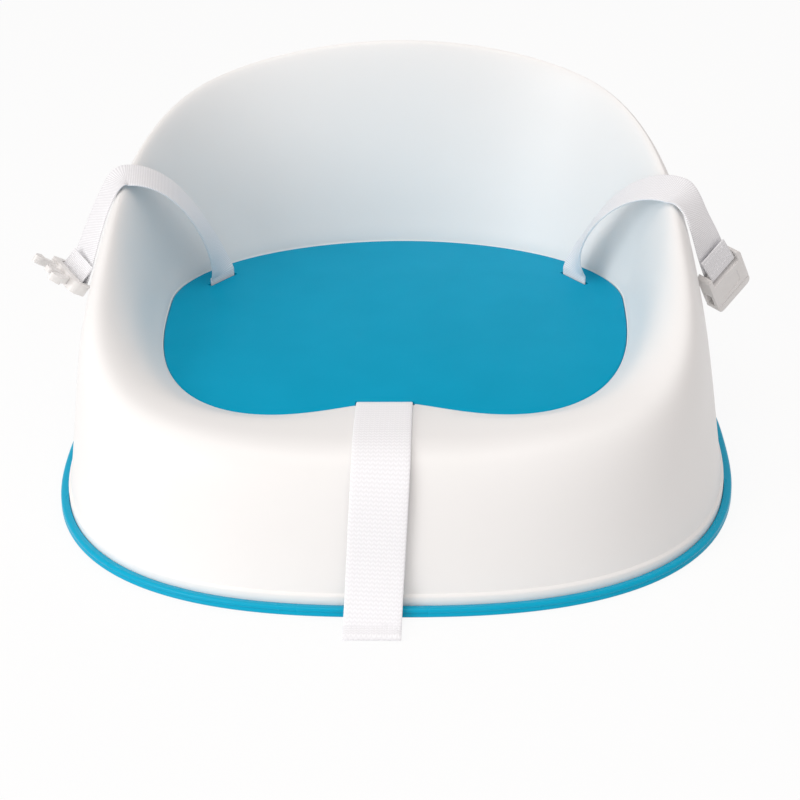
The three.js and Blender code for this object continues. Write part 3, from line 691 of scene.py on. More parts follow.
def grained_material(name, colour, shade, grain, patch, rough, bump, **inputs):
    """Material with a fine grain, and slow patches that shade its colour and change its roughness."""
    base, low, high = rough
    distance, strength = bump
    material, tree, shader = new_material(name, base)
    surface = use_group(tree, moulded_surface_group(), Grain_size=grain, Patch_size=patch)
    tinted(tree, surface.outputs["Patches"], colour, shade, shader)
    varied(tree, surface.outputs["Patches"], low, high, shader)
    bumped(tree, surface.outputs["Height"], distance, strength, shader)
    set_inputs(tree, shader, **inputs)
    return material


def shell_material():
    settings = bpy.context.scene.booster_shell
    return grained_material(
        "Shell moulded plastic", settings.colour, shade=0.975, grain=settings.grain, patch=0.06,
        rough=(0.38, 0.34, 0.46), bump=(0.00003, 0.35), Specular_IOR_Level=0.4,
        Subsurface_Weight=0.06, Subsurface_Radius=(0.004, 0.004, 0.004), Subsurface_Scale=0.5)


def ring_material():
    settings = bpy.context.scene.booster_shell
    return grained_material(
        "Base ring rubber", settings.ring_colour, shade=0.93, grain=0.0008, patch=0.03,
        rough=(0.5, 0.24, 0.32), bump=(0.00003, 0.3), Specular_IOR_Level=0.16)


def pad_material():
    settings = bpy.context.scene.booster_pad
    return grained_material(
        "Pad skinned foam", settings.colour, shade=0.9, grain=settings.grain, patch=0.035,
        rough=(0.45, 0.3, 0.42), bump=(0.00006, 0.5), Specular_IOR_Level=0.03)


def webbing_material(name, pitch, chevron, painted_gap_shade):
    settings = bpy.context.scene.booster_harness
    material, tree, shader = new_material(name, 0.85)
    weave = use_group(tree, webbing_weave_group(), Rib_pitch=pitch, Chevron=chevron)
    # Painted shade: the webbing's colour darkens to a share of itself in the gaps between the yarns
    tinted(tree, weave.outputs["Gaps"], settings.colour, painted_gap_shade, shader)
    varied(tree, weave.outputs["Gaps"], 0.75, 0.95, shader)
    bumped(tree, weave.outputs["Height"], 0.0002, 0.6, shader)
    set_inputs(tree, shader, Sheen_Weight=0.15, Sheen_Roughness=0.5)
    return material


def thread_material():
    settings = bpy.context.scene.booster_harness
    material, tree, shader = new_material("Harness thread", 0.7)
    surface = use_group(tree, moulded_surface_group(), Grain_size=0.0003, Patch_size=0.004)
    tinted(tree, surface.outputs["Patches"], settings.colour, 0.88, shader)
    bumped(tree, surface.outputs["Height"], 0.00005, 0.6, shader)
    return material


def fitting_material():
    settings = bpy.context.scene.booster_harness
    material, tree, shader = new_material("Fitting moulded plastic", 0.3)
    surface = use_group(tree, moulded_surface_group(), Grain_size=0.0007, Patch_size=0.012)
    wear = use_group(tree, edge_wear_group(), Sharpness=0.7)
    tinted(tree, wear.outputs["Mask"], settings.fitting_colour, 1.05, shader)
    varied(tree, surface.outputs["Patches"], 0.26, 0.4, shader)
    bumped(tree, surface.outputs["Height"], 0.00003, 0.4, shader)
    return material


# Seat shell

def crotch_slot_y():
    return BUCKET_CENTRE_Y - reach(PAD, -math.pi / 2) - PAD_GAP - SLOT_OPENING / 2


def shell_rings(wall):
    """Rings from the middle of the recess's floor over the rim to the middle of its underside."""
    floor_z = DECK_Z - PAD_DEPTH
    around = bearings()
    profiles = []
    for bearing in around:
        pad = reach(PAD, bearing)
        foot = reach(FOOT, bearing)
        recess = pad + PAD_GAP + RECESS_SPARE
        edge = recess + DECK_EDGE_ROUND
        skin = skin_section(bearing)
        profile = [(recess / 2, floor_z), (recess - RECESS_CORNER, floor_z)]
        profile.append((recess, floor_z + RECESS_CORNER))
        profile += arc(edge, DECK_Z - DECK_EDGE_ROUND, DECK_EDGE_ROUND, 180, 90, 3)
        profile += [(max(p.x, recess + DECK_EDGE_ROUND * 1.2), p.y) for p in reversed(skin)][1:]
        lip_top = FOOT_Z + FOOT_LIP_HEIGHT
        profile += [
            (foot + FOOT_LIP * 0.3, lip_top + FOOT_LIP * 0.75),
            (foot + FOOT_LIP * 0.8, lip_top + FOOT_LIP * 0.3),
            (foot + FOOT_LIP, lip_top - 0.2),
            (foot + FOOT_LIP, FOOT_Z + 0.3),
            (foot + FOOT_LIP - 0.3, FOOT_Z),
            (foot - wall, FOOT_Z),
        ]
        inside = pad + PAD_GAP + wall
        hollow = inward_section(bearing, wall)
        profile += [(max(p.x, inside), p.y) for p in hollow[:-1]]
        profile += [(inside, DECK_Z - wall), (inside, floor_z - wall), (inside / 2, floor_z - wall)]
        profiles.append(profile)
    return [
        [polar(bearing, profile[j][0], profile[j][1]) for bearing, profile in zip(around, profiles)]
        for j in range(len(profiles[0]))
    ]


def rib_space(wall):
    """Closed space inside the shell, grown half way into the wall."""
    around = bearings(STEPS_RIB_SPACE)
    sections = [inward_section(bearing, wall / 2) for bearing in around]
    rings = [[polar(b, s[0].x, FOOT_Z - wall) for b, s in zip(around, sections)]]
    for j in range(len(sections[0])):
        rings.append([polar(b, s[j].x, s[j].y) for b, s in zip(around, sections)])
    points, faces = loft(rings, centre_point(FOOT_Z - wall), centre_point(DECK_Z - wall / 2))
    return new_piece("rib_space", points, faces)


def shell_ribs(wall):
    span = FOOT["half_width"] * 2
    middle = DECK_Z - PAD_DEPTH - wall / 2 - RIB_DEPTH / 2
    ribs = None
    sizes = [((RIB_THICKNESS, span, RIB_DEPTH), (x, 0, middle)) for x in RIB_COLUMNS_X]
    sizes += [((span, RIB_THICKNESS, RIB_DEPTH), (0, y, middle)) for y in RIB_ROWS_Y]
    for size, place in sizes:
        block = box_piece("rib", size, place)
        ribs = block if ribs is None else combine(ribs, block, "UNION")
    return combine(ribs, rib_space(wall), "INTERSECT")


def crotch_block(spare, depth_spare, top, bottom):
    size = (CROTCH_WIDTH + spare * 2, SLOT_OPENING + depth_spare * 2, top - bottom)
    return box_piece("crotch_block", size, (CROTCH_X, crotch_slot_y(), (top + bottom) / 2))


class BOOSTER_OT_seat_shell(bpy.types.Operator):
    """Make the hollow moulded shell with its rim, deck, slots and ribs"""
    bl_idname = "booster.seat_shell"
    bl_label = "Seat shell"

    def execute(self, context):
        wall = context.scene.booster_shell.wall / MM
        rings = shell_rings(wall)
        points, faces = loft(rings, centre_point(rings[0][0].z), centre_point(rings[-1][0].z))
        shell = new_piece("shell_moulding", points, faces)
        collar_end = DECK_Z - COLLAR_DEPTH
        collar = crotch_block(SLOT_SPARE + COLLAR_WALL, COLLAR_WALL, DECK_Z - wall / 2, collar_end)
        shell = combine(shell, collar, "UNION")
        slot = crotch_block(SLOT_SPARE / 2, 0, DECK_Z + CUT_OVER, DECK_Z - COLLAR_DEPTH * 1.5)
        shell = combine(shell, slot, "DIFFERENCE")
        for side in (-1, 1):
            size = (LAP_WIDTH + SLOT_SPARE, SLOT_OPENING, wall * 3)
            place = (side * LAP_SLOT["x"], LAP_SLOT["y"], DECK_Z - PAD_DEPTH)
            slot = box_piece("lap_slot", size, place, side * LAP_SLOT["turn"])
            shell = combine(shell, slot, "DIFFERENCE")
            size = (CHAIR_SLOT["width"], CHAIR_SLOT["depth"], CHAIR_SLOT["height"])
            place = (side * CHAIR_SLOT["x"], FOOT["back"], CHAIR_SLOT["z"])
            shell = combine(shell, box_piece("chair_slot", size, place), "DIFFERENCE")
        shell = joined("shell_moulding", [shell, shell_ribs(wall)])
        finished(shell, shell_material())
        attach(shell, "base")
        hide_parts("seat_shell")
        return {"FINISHED"}


# Base ring

def ring_profile(proud):
    """Ring's section as (distance from the shell's foot, height): a bead over a lip, and the foot's seat."""
    seat = FOOT_LIP + STRAP_GAP
    inside = -RING_WALL - STRAP_GAP
    back = inside - RING_INNER
    top = RING_HEIGHT - RING_SEAT_DROP
    bead = (RING_HEIGHT - RING_CREASE) / 2
    points = [(back, 0.4), (back + 0.4, 0)]
    points += arc(proud - RING_LIP_ROUND, RING_LIP_ROUND, RING_LIP_ROUND, -90, 38, 8)
    points += arc(proud - bead - RING_BEAD_BACK, RING_CREASE + bead, bead, -40, 100, 10)
    points += [
        (seat + 0.15, top + 0.35),
        (seat, top),
        (seat, FOOT_Z - STRAP_GAP),
        (inside, FOOT_Z - STRAP_GAP),
        (inside, top - 0.2),
        (inside - RING_INNER_EASE, top),
        (back + RING_INNER_EASE, top),
        (back, top - RING_INNER_EASE),
    ]
    return points


class BOOSTER_OT_base_ring(bpy.types.Operator):
    """Make the soft ring round the shell's foot"""
    bl_idname = "booster.base_ring"
    bl_label = "Base ring"

    def execute(self, context):
        profile = ring_profile(context.scene.booster_shell.ring_proud / MM)
        sections = []
        for bearing in bearings():
            foot = reach(FOOT, bearing)
            sections.append([polar(bearing, foot + out, z) for out, z in profile])
        sections.append(sections[0])
        points, faces = loft(sections)
        ring = new_piece("base_ring_rubber", points, faces)
        bm = bmesh.new()
        bm.from_mesh(ring.data)
        bmesh.ops.remove_doubles(bm, verts=bm.verts, dist=1e-7)
        bmesh.ops.recalc_face_normals(bm, faces=bm.faces)
        bm.to_mesh(ring.data)
        bm.free()
        finished(ring, ring_material(), 40)
        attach(ring, "base")
        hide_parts("base_ring")
        return {"FINISHED"}


# Seat pad

def pad_rings(crown):
    bottom = DECK_Z - PAD_DEPTH + STRAP_GAP
    around = bearings()
    radii = [reach(PAD, bearing) + PAD_PRESS for bearing in around]
    profile = [(out, bottom + up) for out, up in PAD_LOWER_EDGE]
    profile += arc(-PAD_EDGE_ROUND, DECK_Z - PAD_EDGE_ROUND, PAD_EDGE_ROUND, 0, 90, 8)
    rings = [[polar(b, r + out, z) for b, r in zip(around, radii)] for out, z in profile]
    for i in range(1, STEPS_PAD):
        share = 1 - i / STEPS_PAD
        z = DECK_Z + crown * (1 - share * share)
        rings.append([polar(b, (r - PAD_EDGE_ROUND) * share, z) for b, r in zip(around, radii)])
    return rings, bottom


def webbing_thickness():
    return bpy.context.scene.booster_harness.thickness / MM


def lap_slit(side):
    """Block that cuts the slit in the pad for the lap webbing."""
    size = (LAP_WIDTH + LAP_SLIT_SPARE * 2, webbing_thickness() + STRAP_GAP * 6, PAD_DEPTH * 3)
    place = (side * LAP_SLOT["x"], LAP_SLOT["y"], DECK_Z)
    return box_piece("lap_slit", size, place, side * LAP_SLOT["turn"])


class BOOSTER_OT_seat_pad(bpy.types.Operator):
    """Make the foam pad with its rounded edge, its slits and its notch for the straps"""
    bl_idname = "booster.seat_pad"
    bl_label = "Seat pad"

    def execute(self, context):
        crown = context.scene.booster_pad.crown / MM
        rings, bottom = pad_rings(crown)
        points, faces = loft(rings, centre_point(bottom), centre_point(DECK_Z + crown))
        pad = new_piece("pad_foam", points, faces)
        for side in (-1, 1):
            pad = combine(pad, lap_slit(side), "DIFFERENCE")
        notch = crotch_block(STRAP_GAP * 2, 0, DECK_Z + CUT_OVER, DECK_Z - PAD_DEPTH * 2)
        pad = combine(pad, notch, "DIFFERENCE")
        finished(pad, pad_material(), 50)
        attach(pad, "pad")
        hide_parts("seat_pad")
        return {"FINISHED"}


# Webbing

def mirrored(point):
    return Vector((-point.x, point.y, point.z))


def half_turn(centre, along, out, radius, across, steps=10):
    made = []
    for i in range(steps + 1):
        angle = math.pi * (0.5 - i / steps)
        made.append((centre + along * math.cos(angle) * radius + out * math.sin(angle) * radius, across))
    return made


def straight_run(start, end, across, steps):
    return [(start.lerp(end, i / steps), across) for i in range(1, steps + 1)]


def folded_end(foot, across, out, tail):
    down = Vector((0, 0, -1))
    centre = foot + out * FOLD_RADIUS
    free = centre + out * FOLD_RADIUS - down * tail
    return [(free, across)] + half_turn(centre, down, out, FOLD_RADIUS, across)


def beside_wall(place):
    """Point at a bearing, a drop below the rim and a stand-off from the outer wall."""
    bearing = math.radians(place["bearing"])
    z = rim_height(bearing) - place["drop"]
    return polar(bearing, wall_reach(bearing, z) + place["stand_off"], z)


def lap_frame(name):
    """Fixed points and headings of a lap strap, for the right side or mirrored to the left."""
    values = LAPS[name]
    crossing = values["crossing"]
    side = 1 if name == "right" else -1
    turn = math.radians(LAP_SLOT["turn"])
    heading = math.radians(crossing["heading"])
    tilt = math.radians(crossing["tilt"])
    bearing = math.radians(crossing["bearing"])
    lift = STRAP_GAP + webbing_thickness() / 2 + crossing["clear"]
    made = {
        "slot": Vector((LAP_SLOT["x"], LAP_SLOT["y"], DECK_Z)),
        "slot_across": Vector((-math.cos(turn), -math.sin(turn), 0)),
        "slot_out": Vector((-math.sin(turn), math.cos(turn), 0)),
        "crest": polar(bearing, reach(RIM, bearing), rim_height(bearing) + lift),
        "crest_along": Vector((math.cos(heading), math.sin(heading), 0)),
        "crest_across": Vector((
            -math.sin(heading) * math.cos(tilt),
            math.cos(heading) * math.cos(tilt),
            math.sin(tilt),
        )),
        "end": beside_wall(values["bar"]),
    }
    if side < 0:
        made = {key: mirrored(value) for key, value in made.items()}
    made["arch"] = values["arch"]
    made["swing"] = values["swing"]
    made["end_along"] = Vector(values["heading"]).normalized()
    across = Vector(values["end_across"])
    made["end_across"] = (across - made["end_along"] * made["end_along"].dot(across)).normalized()
    made["end_out"] = made["end_along"].cross(made["end_across"]) * side
    side_across = Vector(values["side_across"])
    made["hang_across"] = [made["crest_across"], side_across, side_across, made["end_across"]]
    made["hang"] = [
        made["crest"],
        made["crest"] + made["crest_along"] * crossing["roll"],
        made["end"] - made["end_along"] * values["pull"],
        made["end"],
    ]
    made["cut"] = bezier(made["hang"], LAP_LEAVES)
    before, after = (bezier(made["hang"], LAP_LEAVES * share) for share in (0.9, 1.1))
    made["cut_along"] = (after - before).normalized()
    return made


def bar_radius():
    return BUCKLE_BAR + STRAP_GAP + webbing_thickness() / 2


def lap_stations(lap):
    """Stations of a lap strap, from its stop through deck and pad, over the rim and round the buckle bar."""
    foot = lap["slot"].copy()
    foot.z = DECK_Z - PAD_DEPTH - DECK_WALL - STOP_THICKNESS - STOP_TAIL
    stations = folded_end(foot, lap["slot_across"], lap["slot_out"], STOP_TAIL - STRAP_GAP * 2)
    top = lap["slot"].copy()
    top.z = DECK_Z + lap["arch"]["straight"]
    stations += straight_run(foot, top, lap["slot_across"], STEPS_STRAIGHT)
    arch = [
        top,
        top + Vector((0, 0, lap["arch"]["rise"])),
        lap["crest"] - lap["crest_along"] * lap["arch"]["reach"],
        lap["crest"],
    ]
    for i in range(1, STEPS_ARCH + 1):
        turned = 1 - (1 - i / STEPS_ARCH) ** lap["arch"]["twist"]
        across = lap["slot_across"].lerp(lap["crest_across"], turned)
        stations.append((bezier(arch, i / STEPS_ARCH), across))
    for i in range(1, STEPS_HANG + 1):
        t = i / STEPS_HANG
        share = max(0.0, (t - LAP_LEAVES) / (1 - LAP_LEAVES))
        stations.append((bezier(lap["hang"], t), bezier(lap["hang_across"], share)))
    radius = bar_radius()
    centre = lap["end"] + lap["end_out"] * radius
    turn = half_turn(centre, lap["end_along"], -lap["end_out"], radius, lap["end_across"], STEPS_BAR)
    stations += turn[1:]
    apart = webbing_thickness() + STRAP_GAP * 2
    back = lap["end"] - lap["end_along"] * LAP_RETURN + lap["end_out"] * apart
    return stations + straight_run(turn[-1][0], back, lap["end_across"], STEPS_STRAIGHT)


def crotch_route():
    """Places over the front lip, from the deck's edge to the outer wall, that the crotch strap passes."""
    front = -math.pi / 2
    skin = [polar(front, p.x, p.y) for p in reversed(skin_section(front, STEPS_HOLLOW))]
    lift = webbing_thickness() / 2 + STRAP_GAP * 2
    route = []
    for i in range(2, len(skin) - 2):
        along = (skin[i + 1] - skin[i - 1]).normalized()
        share = max(0.0, (i - STEPS_HOLLOW) / (STEPS_HOLLOW - 2))
        off = lift + CROTCH_STAND_OFF * smooth(min(1.0, share * 1.6))
        route.append(skin[i] + Vector((0, along.z, -along.y)) * off)
    return route


def crotch_middle(point):
    share = min(1.0, max(0.0, (DECK_Z - point.z) / DECK_Z))
    return Vector((CROTCH_X + CROTCH_DRIFT * share, point.y, point.z))


def crotch_stations():
    """Stations of the crotch strap, from its stop up through the slot, over the lip and down to its hem."""
    across = Vector((1, 0, 0))
    thickness = webbing_thickness()
    y = crotch_slot_y() - SLOT_OPENING / 2 + thickness / 2 + STRAP_GAP
    foot = Vector((CROTCH_X, y, DECK_Z - COLLAR_DEPTH - STOP_THICKNESS - STOP_TAIL))
    stations = folded_end(foot, across, Vector((0, 1, 0)), STOP_TAIL - STRAP_GAP * 2)
    route = crotch_route()
    top = Vector((CROTCH_X, y, DECK_Z + CROTCH_LIFT - CROTCH_BEND))
    stations += straight_run(foot, top, across, STEPS_RISE)
    for i in range(1, STEPS_BEND + 1):
        angle = i / STEPS_BEND * math.pi / 2
        turned = Vector((0, math.cos(angle) - 1, math.sin(angle)))
        stations.append((top + turned * CROTCH_BEND, across))
    stations += [(crotch_middle(point), across) for point in route]
    wall, before = route[-1], route[-2]
    ring = -FOOT["front"] - bpy.context.scene.booster_shell.ring_proud / MM
    floor = thickness / 2
    curve = [
        wall,
        wall + (wall - before).normalized() * wall.z / 2,
        Vector((0, ring - CROTCH_STAND_OFF, floor)),
        Vector((0, ring - HEM - CROTCH_STAND_OFF, floor)),
    ]
    for i in range(1, STEPS_FALL + 1):
        stations.append((crotch_middle(bezier(curve, i / STEPS_FALL)), across))
    centre = Vector((0, CROTCH_TAIL_Y + FOLD_RADIUS + thickness / 2, floor + FOLD_RADIUS))
    turn = half_turn(centre, Vector((0, -1, 0)), Vector((0, 0, -1)), FOLD_RADIUS, across)
    stations += [(crotch_middle(point), across) for point, _ in turn]
    back = Vector((0, CROTCH_TAIL_Y + HEM, floor + thickness + STRAP_GAP))
    return stations + straight_run(stations[-1][0], crotch_middle(back), across, STEPS_HEM)


def smoothed(stations):
    """Even stations along a smooth curve through the given ones."""
    points = [point for point, _ in stations]
    fine = []
    for i in range(len(points) - 1):
        p0, p1 = points[max(i - 1, 0)], points[i]
        p2, p3 = points[i + 1], points[min(i + 2, len(points) - 1)]
        count = max(1, round((p2 - p1).length / STATION_SPACING))
        for j in range(count):
            t = j / count
            point = 0.5 * (2 * p1 + (p2 - p0) * t + (2 * p0 - 5 * p1 + 4 * p2 - p3) * t * t
                           + (3 * p1 - p0 - 3 * p2 + p3) * t * t * t)
            fine.append((point, stations[i][1].lerp(stations[i + 1][1], t)))
    fine.append(stations[-1])
    return fine


def band_frames(stations):
    made = []
    for i, (middle, width_way) in enumerate(stations):
        before = stations[max(i - 1, 0)][0]
        after = stations[min(i + 1, len(stations) - 1)][0]
        along = (after - before).normalized()
        across = (width_way - along * along.dot(width_way)).normalized()
        made.append((middle, across, along.cross(across)))
    return made


def band_piece(name, stations, width, thickness):
    """Woven band with rounded selvedges and a map in metres across and along it."""
    frames = band_frames(stations)
    radius = thickness / 2
    edge = width / 2 - radius
    row = [mix(-edge, edge, i / BAND_COLUMNS) for i in range(BAND_COLUMNS + 1)]
    section = [(place, -radius) for place in row]
    section += arc(edge, 0, radius, -90, 90, 5)[1:-1]
    section += [(-place, radius) for place in row]
    section += arc(-edge, 0, radius, 90, 270, 5)[1:-1]
    rings = [[middle + across * a + out * b for a, b in section] for middle, across, out in frames]
    points, faces = loft(rings, frames[0][0], frames[-1][0])
    run = [0.0]
    for before, after in zip(frames, frames[1:]):
        run.append(run[-1] + (after[0] - before[0]).length)
    places = [(a * MM, length * MM) for length in run for a, _ in section]
    places += [(0.0, 0.0), (0.0, run[-1] * MM)]
    strap = new_piece(name, points, faces)
    layer = strap.data.uv_layers.new(name="band")
    for loop in strap.data.loops:
        layer.data[loop.index].uv = places[loop.vertex_index]
    return strap


def stitch_tree():
    """Geometry Nodes tree that sews stitches along the edges of a guide line."""
    name = "Stitch row"
    if name in bpy.data.node_groups:
        return bpy.data.node_groups[name]
    tree = bpy.data.node_groups.new(name, "GeometryNodeTree")
    socket(tree, "Geometry", "INPUT", "NodeSocketGeometry")
    socket(tree, "Stitch length", "INPUT", "NodeSocketFloat", 0.0022)
    socket(tree, "Thread", "INPUT", "NodeSocketFloat", 0.00045)
    socket(tree, "Material", "INPUT", "NodeSocketMaterial")
    socket(tree, "Geometry", "OUTPUT", "NodeSocketGeometry")
    kinds = {
        "start": "NodeGroupInput",
        "end": "NodeGroupOutput",
        "curve": "GeometryNodeMeshToCurve",
        "resample": "GeometryNodeResampleCurve",
        "thread": "GeometryNodeMeshUVSphere",
        "stretch": "ShaderNodeCombineXYZ",
        "turn": "FunctionNodeAlignRotationToVector",
        "tangent": "GeometryNodeInputTangent",
        "instances": "GeometryNodeInstanceOnPoints",
        "real": "GeometryNodeRealizeInstances",
        "paint": "GeometryNodeSetMaterial",
        "smoothing": "GeometryNodeSetShadeSmooth",
        "shorter": "ShaderNodeMath",
    }
    nodes = {key: tree.nodes.new(kind) for key, kind in kinds.items()}
    nodes["resample"].mode = "LENGTH"
    nodes["thread"].inputs["Segments"].default_value = 8
    nodes["thread"].inputs["Rings"].default_value = 6
    nodes["thread"].inputs["Radius"].default_value = 0.5
    nodes["turn"].axis = "X"
    nodes["shorter"].operation = "MULTIPLY"
    nodes["shorter"].inputs[1].default_value = STITCH_SHARE
    wires = (
        ("start", "Geometry", "curve", 0),
        ("curve", 0, "resample", "Curve"),
        ("start", "Stitch length", "resample", "Length"),
        ("resample", 0, "instances", "Points"),
        ("thread", "Mesh", "instances", "Instance"),
        ("tangent", 0, "turn", "Vector"),
        ("turn", 0, "instances", "Rotation"),
        ("start", "Stitch length", "shorter", 0),
        ("shorter", 0, "stretch", "X"),
        ("start", "Thread", "stretch", "Y"),
        ("start", "Thread", "stretch", "Z"),
        ("stretch", 0, "instances", "Scale"),
        ("instances", 0, "real", 0),
        ("real", 0, "smoothing", 0),
        ("smoothing", 0, "paint", "Geometry"),
        ("start", "Material", "paint", "Material"),
        ("paint", 0, "end", 0),
    )
    for source, output, target, place in wires:
        tree.links.new(nodes[source].outputs[output], nodes[target].inputs[place])
    return tree


def stitch_piece(name, lines, material):
    """Stitches along polylines given in the shell's frame."""
    settings = bpy.context.scene.booster_harness
    mesh = bpy.data.meshes.new(name)
    points, edges = [], []
    for line in lines:
        first = len(points)
        points += [row_point(p) for p in line]
        edges += [(first + i, first + i + 1) for i in range(len(line) - 1)]
    mesh.from_pydata(points, edges, [])
    piece = new_object(name, mesh)
    modifier = piece.modifiers.new("stitches", "NODES")
    modifier.node_group = stitch_tree()
    items = modifier.node_group.interface.items_tree
    keys = {item.name: item.identifier for item in items if item.in_out == "INPUT"}
    modifier[keys["Stitch length"]] = settings.stitch_length
    modifier[keys["Thread"]] = settings.thread
    modifier[keys["Material"]] = material
    baked(piece)
    return piece


def row_across(station, width, lift, count=14):
    """Line across a band, a little in from both selvedges and lifted off its middle."""
    middle, across, out = station
    inset = width / 2 - STITCH_INSET
    return [middle + across * mix(-inset, inset, i / count) + out * lift for i in range(count + 1)]


def box_stitch(stations, width, lift):
    """Box of stitches with its cross, over a run of a band's stations."""
    inset = width / 2 - STITCH_INSET
    last = len(stations) - 1
    lines = [row_across(stations[index], width, lift) for index in (0, last)]
    sides = [[way] * len(stations) for way in (-1, 1)]
    crosses = [[mix(-way, way, i / last) for i in range(last + 1)] for way in (-1, 1)]
    for places in sides + crosses:
        lines.append([
            middle + across * inset * place + out * lift
            for (middle, across, out), place in zip(stations, places)
        ])
    return lines


def lap_strap(name):
    thickness = webbing_thickness()
    lap = lap_frame(name)
    stations = smoothed(lap_stations(lap))
    strap = band_piece(f"lap_webbing_{name}", stations, LAP_WIDTH, thickness)
    finished(strap, bpy.data.materials["Lap webbing"], 60)
    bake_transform(strap)
    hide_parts(f"lap_strap_{name}", f"lap_strap_{name}_hanging")
    frames = band_frames(stations)
    side = 1 if frames[-1][2].dot(lap["end_out"]) > 0 else -1
    lines = box_stitch(frames[STITCH_BOX], LAP_WIDTH, side * (thickness / 2 + STITCH_LIFT))
    stitches = stitch_piece(f"lap_stitches_{name}", lines, bpy.data.materials["Harness thread"])
    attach(stitches, f"lap_{name}")


def crotch_strap():
    thickness = webbing_thickness()
    stations = smoothed(crotch_stations())
    strap = band_piece("crotch_webbing", stations, CROTCH_WIDTH, thickness)
    finished(strap, bpy.data.materials["Crotch webbing"], 60)
    cut = crotch_route()[STEPS_HOLLOW - 2]
    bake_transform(strap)
    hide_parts("crotch_strap", "crotch_strap_hanging")
    frames = band_frames(stations)
    side = 1 if frames[STITCH_HEM[0]][2].z > 0 else -1
    lift = side * (thickness / 2 + STITCH_LIFT)
    lines = [row_across(frames[index], CROTCH_WIDTH, lift, 24) for index in STITCH_HEM]
    stitches = stitch_piece("crotch_stitches", lines, bpy.data.materials["Harness thread"])
    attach(stitches, "crotch")


class BOOSTER_OT_harness(bpy.types.Operator):
    """Make the lap straps and the crotch strap with their folds and stitches"""
    bl_idname = "booster.harness"
    bl_label = "Harness straps"

    def execute(self, context):
        settings = context.scene.booster_harness
        # Each webbing's yarn gaps get painted shade, down to the given share of its colour
        webbing_material("Lap webbing", settings.rib_pitch, chevron=0.0, painted_gap_shade=0.78)
        webbing_material("Crotch webbing", settings.chevron_pitch, chevron=0.5, painted_gap_shade=0.9)
        thread_material()
        lap_strap("right")
        lap_strap("left")
        crotch_strap()
        return {"FINISHED"}


# Buckle, with its webbing bar on X, its length on Y and its thickness on Z

def buckle_matrix(lap):
    swing = math.radians(lap["swing"])
    length = lap["end_along"] * math.cos(swing) + lap["end_out"] * math.sin(swing)
    out = lap["end_across"].cross(length)
    bar = row_point(lap["end"] + lap["end_out"] * bar_radius())
    rows = [[lap["end_across"][i], length[i], out[i], bar[i]] for i in range(3)]
    return Matrix([*rows, [0, 0, 0, 1]])


def plate(name, outline, thickness, z=0.0):
    """Flat plate from a plan outline, in millimetres in the buckle's own frame."""
    mesh = bpy.data.meshes.new(name)
    count = len(outline)
    points = [Vector((x, y, z - thickness / 2)) * MM for x, y in outline]
    points += [Vector((x, y, z + thickness / 2)) * MM for x, y in outline]
    faces = [tuple(reversed(range(count))), tuple(range(count, count * 2))]
    faces += [(i, (i + 1) % count, count + (i + 1) % count, count + i) for i in range(count)]
    mesh.from_pydata(points, [], faces)
    face_outwards(mesh)
    return new_object(name, mesh)


def rounded_outline(half_width, low, high, corner):
    outline = []
    for x, y, start in ((1, high, 0), (-1, high, 90), (-1, low, 180), (1, low, 270)):
        middle = high - corner if y == high else low + corner
        outline += arc(x * (half_width - corner), middle, corner, start, start + 90, STEPS_CORNER)
    return outline


def plain_block(name, low, high):
    outline = [(low[0], low[1]), (high[0], low[1]), (high[0], high[1]), (low[0], high[1])]
    return plate(name, outline, high[2] - low[2], (low[2] + high[2]) / 2)


def buckle_body(name, length, thickness):
    opening = LAP_WIDTH / 2 + BUCKLE_CLEARANCE
    outline = rounded_outline(opening + BUCKLE_CHEEK, -BUCKLE_HEEL, BUCKLE_WEB + length, BUCKLE_CORNER)
    low = (-opening, -BUCKLE_OVERCUT, -BUCKLE_OVERCUT)
    gap = plain_block("gap", low, (opening, BUCKLE_WEB, BUCKLE_OVERCUT))
    return combine(plate(name, outline, thickness), gap, "DIFFERENCE")


def bar_piece():
    half = LAP_WIDTH / 2 + BUCKLE_CLEARANCE + BUCKLE_CHEEK / 2
    mesh = bpy.data.meshes.new("bar")
    bm = bmesh.new()
    radius = BUCKLE_BAR * MM
    bmesh.ops.create_cone(
        bm, cap_ends=True, segments=24, radius1=radius, radius2=radius, depth=half * 2 * MM)
    turned = Matrix.Rotation(math.pi / 2, 3, "Y")
    bmesh.ops.rotate(bm, cent=Vector(), matrix=turned, verts=bm.verts)
    bm.to_mesh(mesh)
    bm.free()
    return new_object("bar", mesh)


def eased(piece, width):
    modifier = piece.modifiers.new("ease", "BEVEL")
    modifier.width = width * MM
    modifier.segments = 3
    modifier.limit_method = "ANGLE"
    modifier.angle_limit = math.radians(40)
    modifier.use_clamp_overlap = True
    baked(piece)


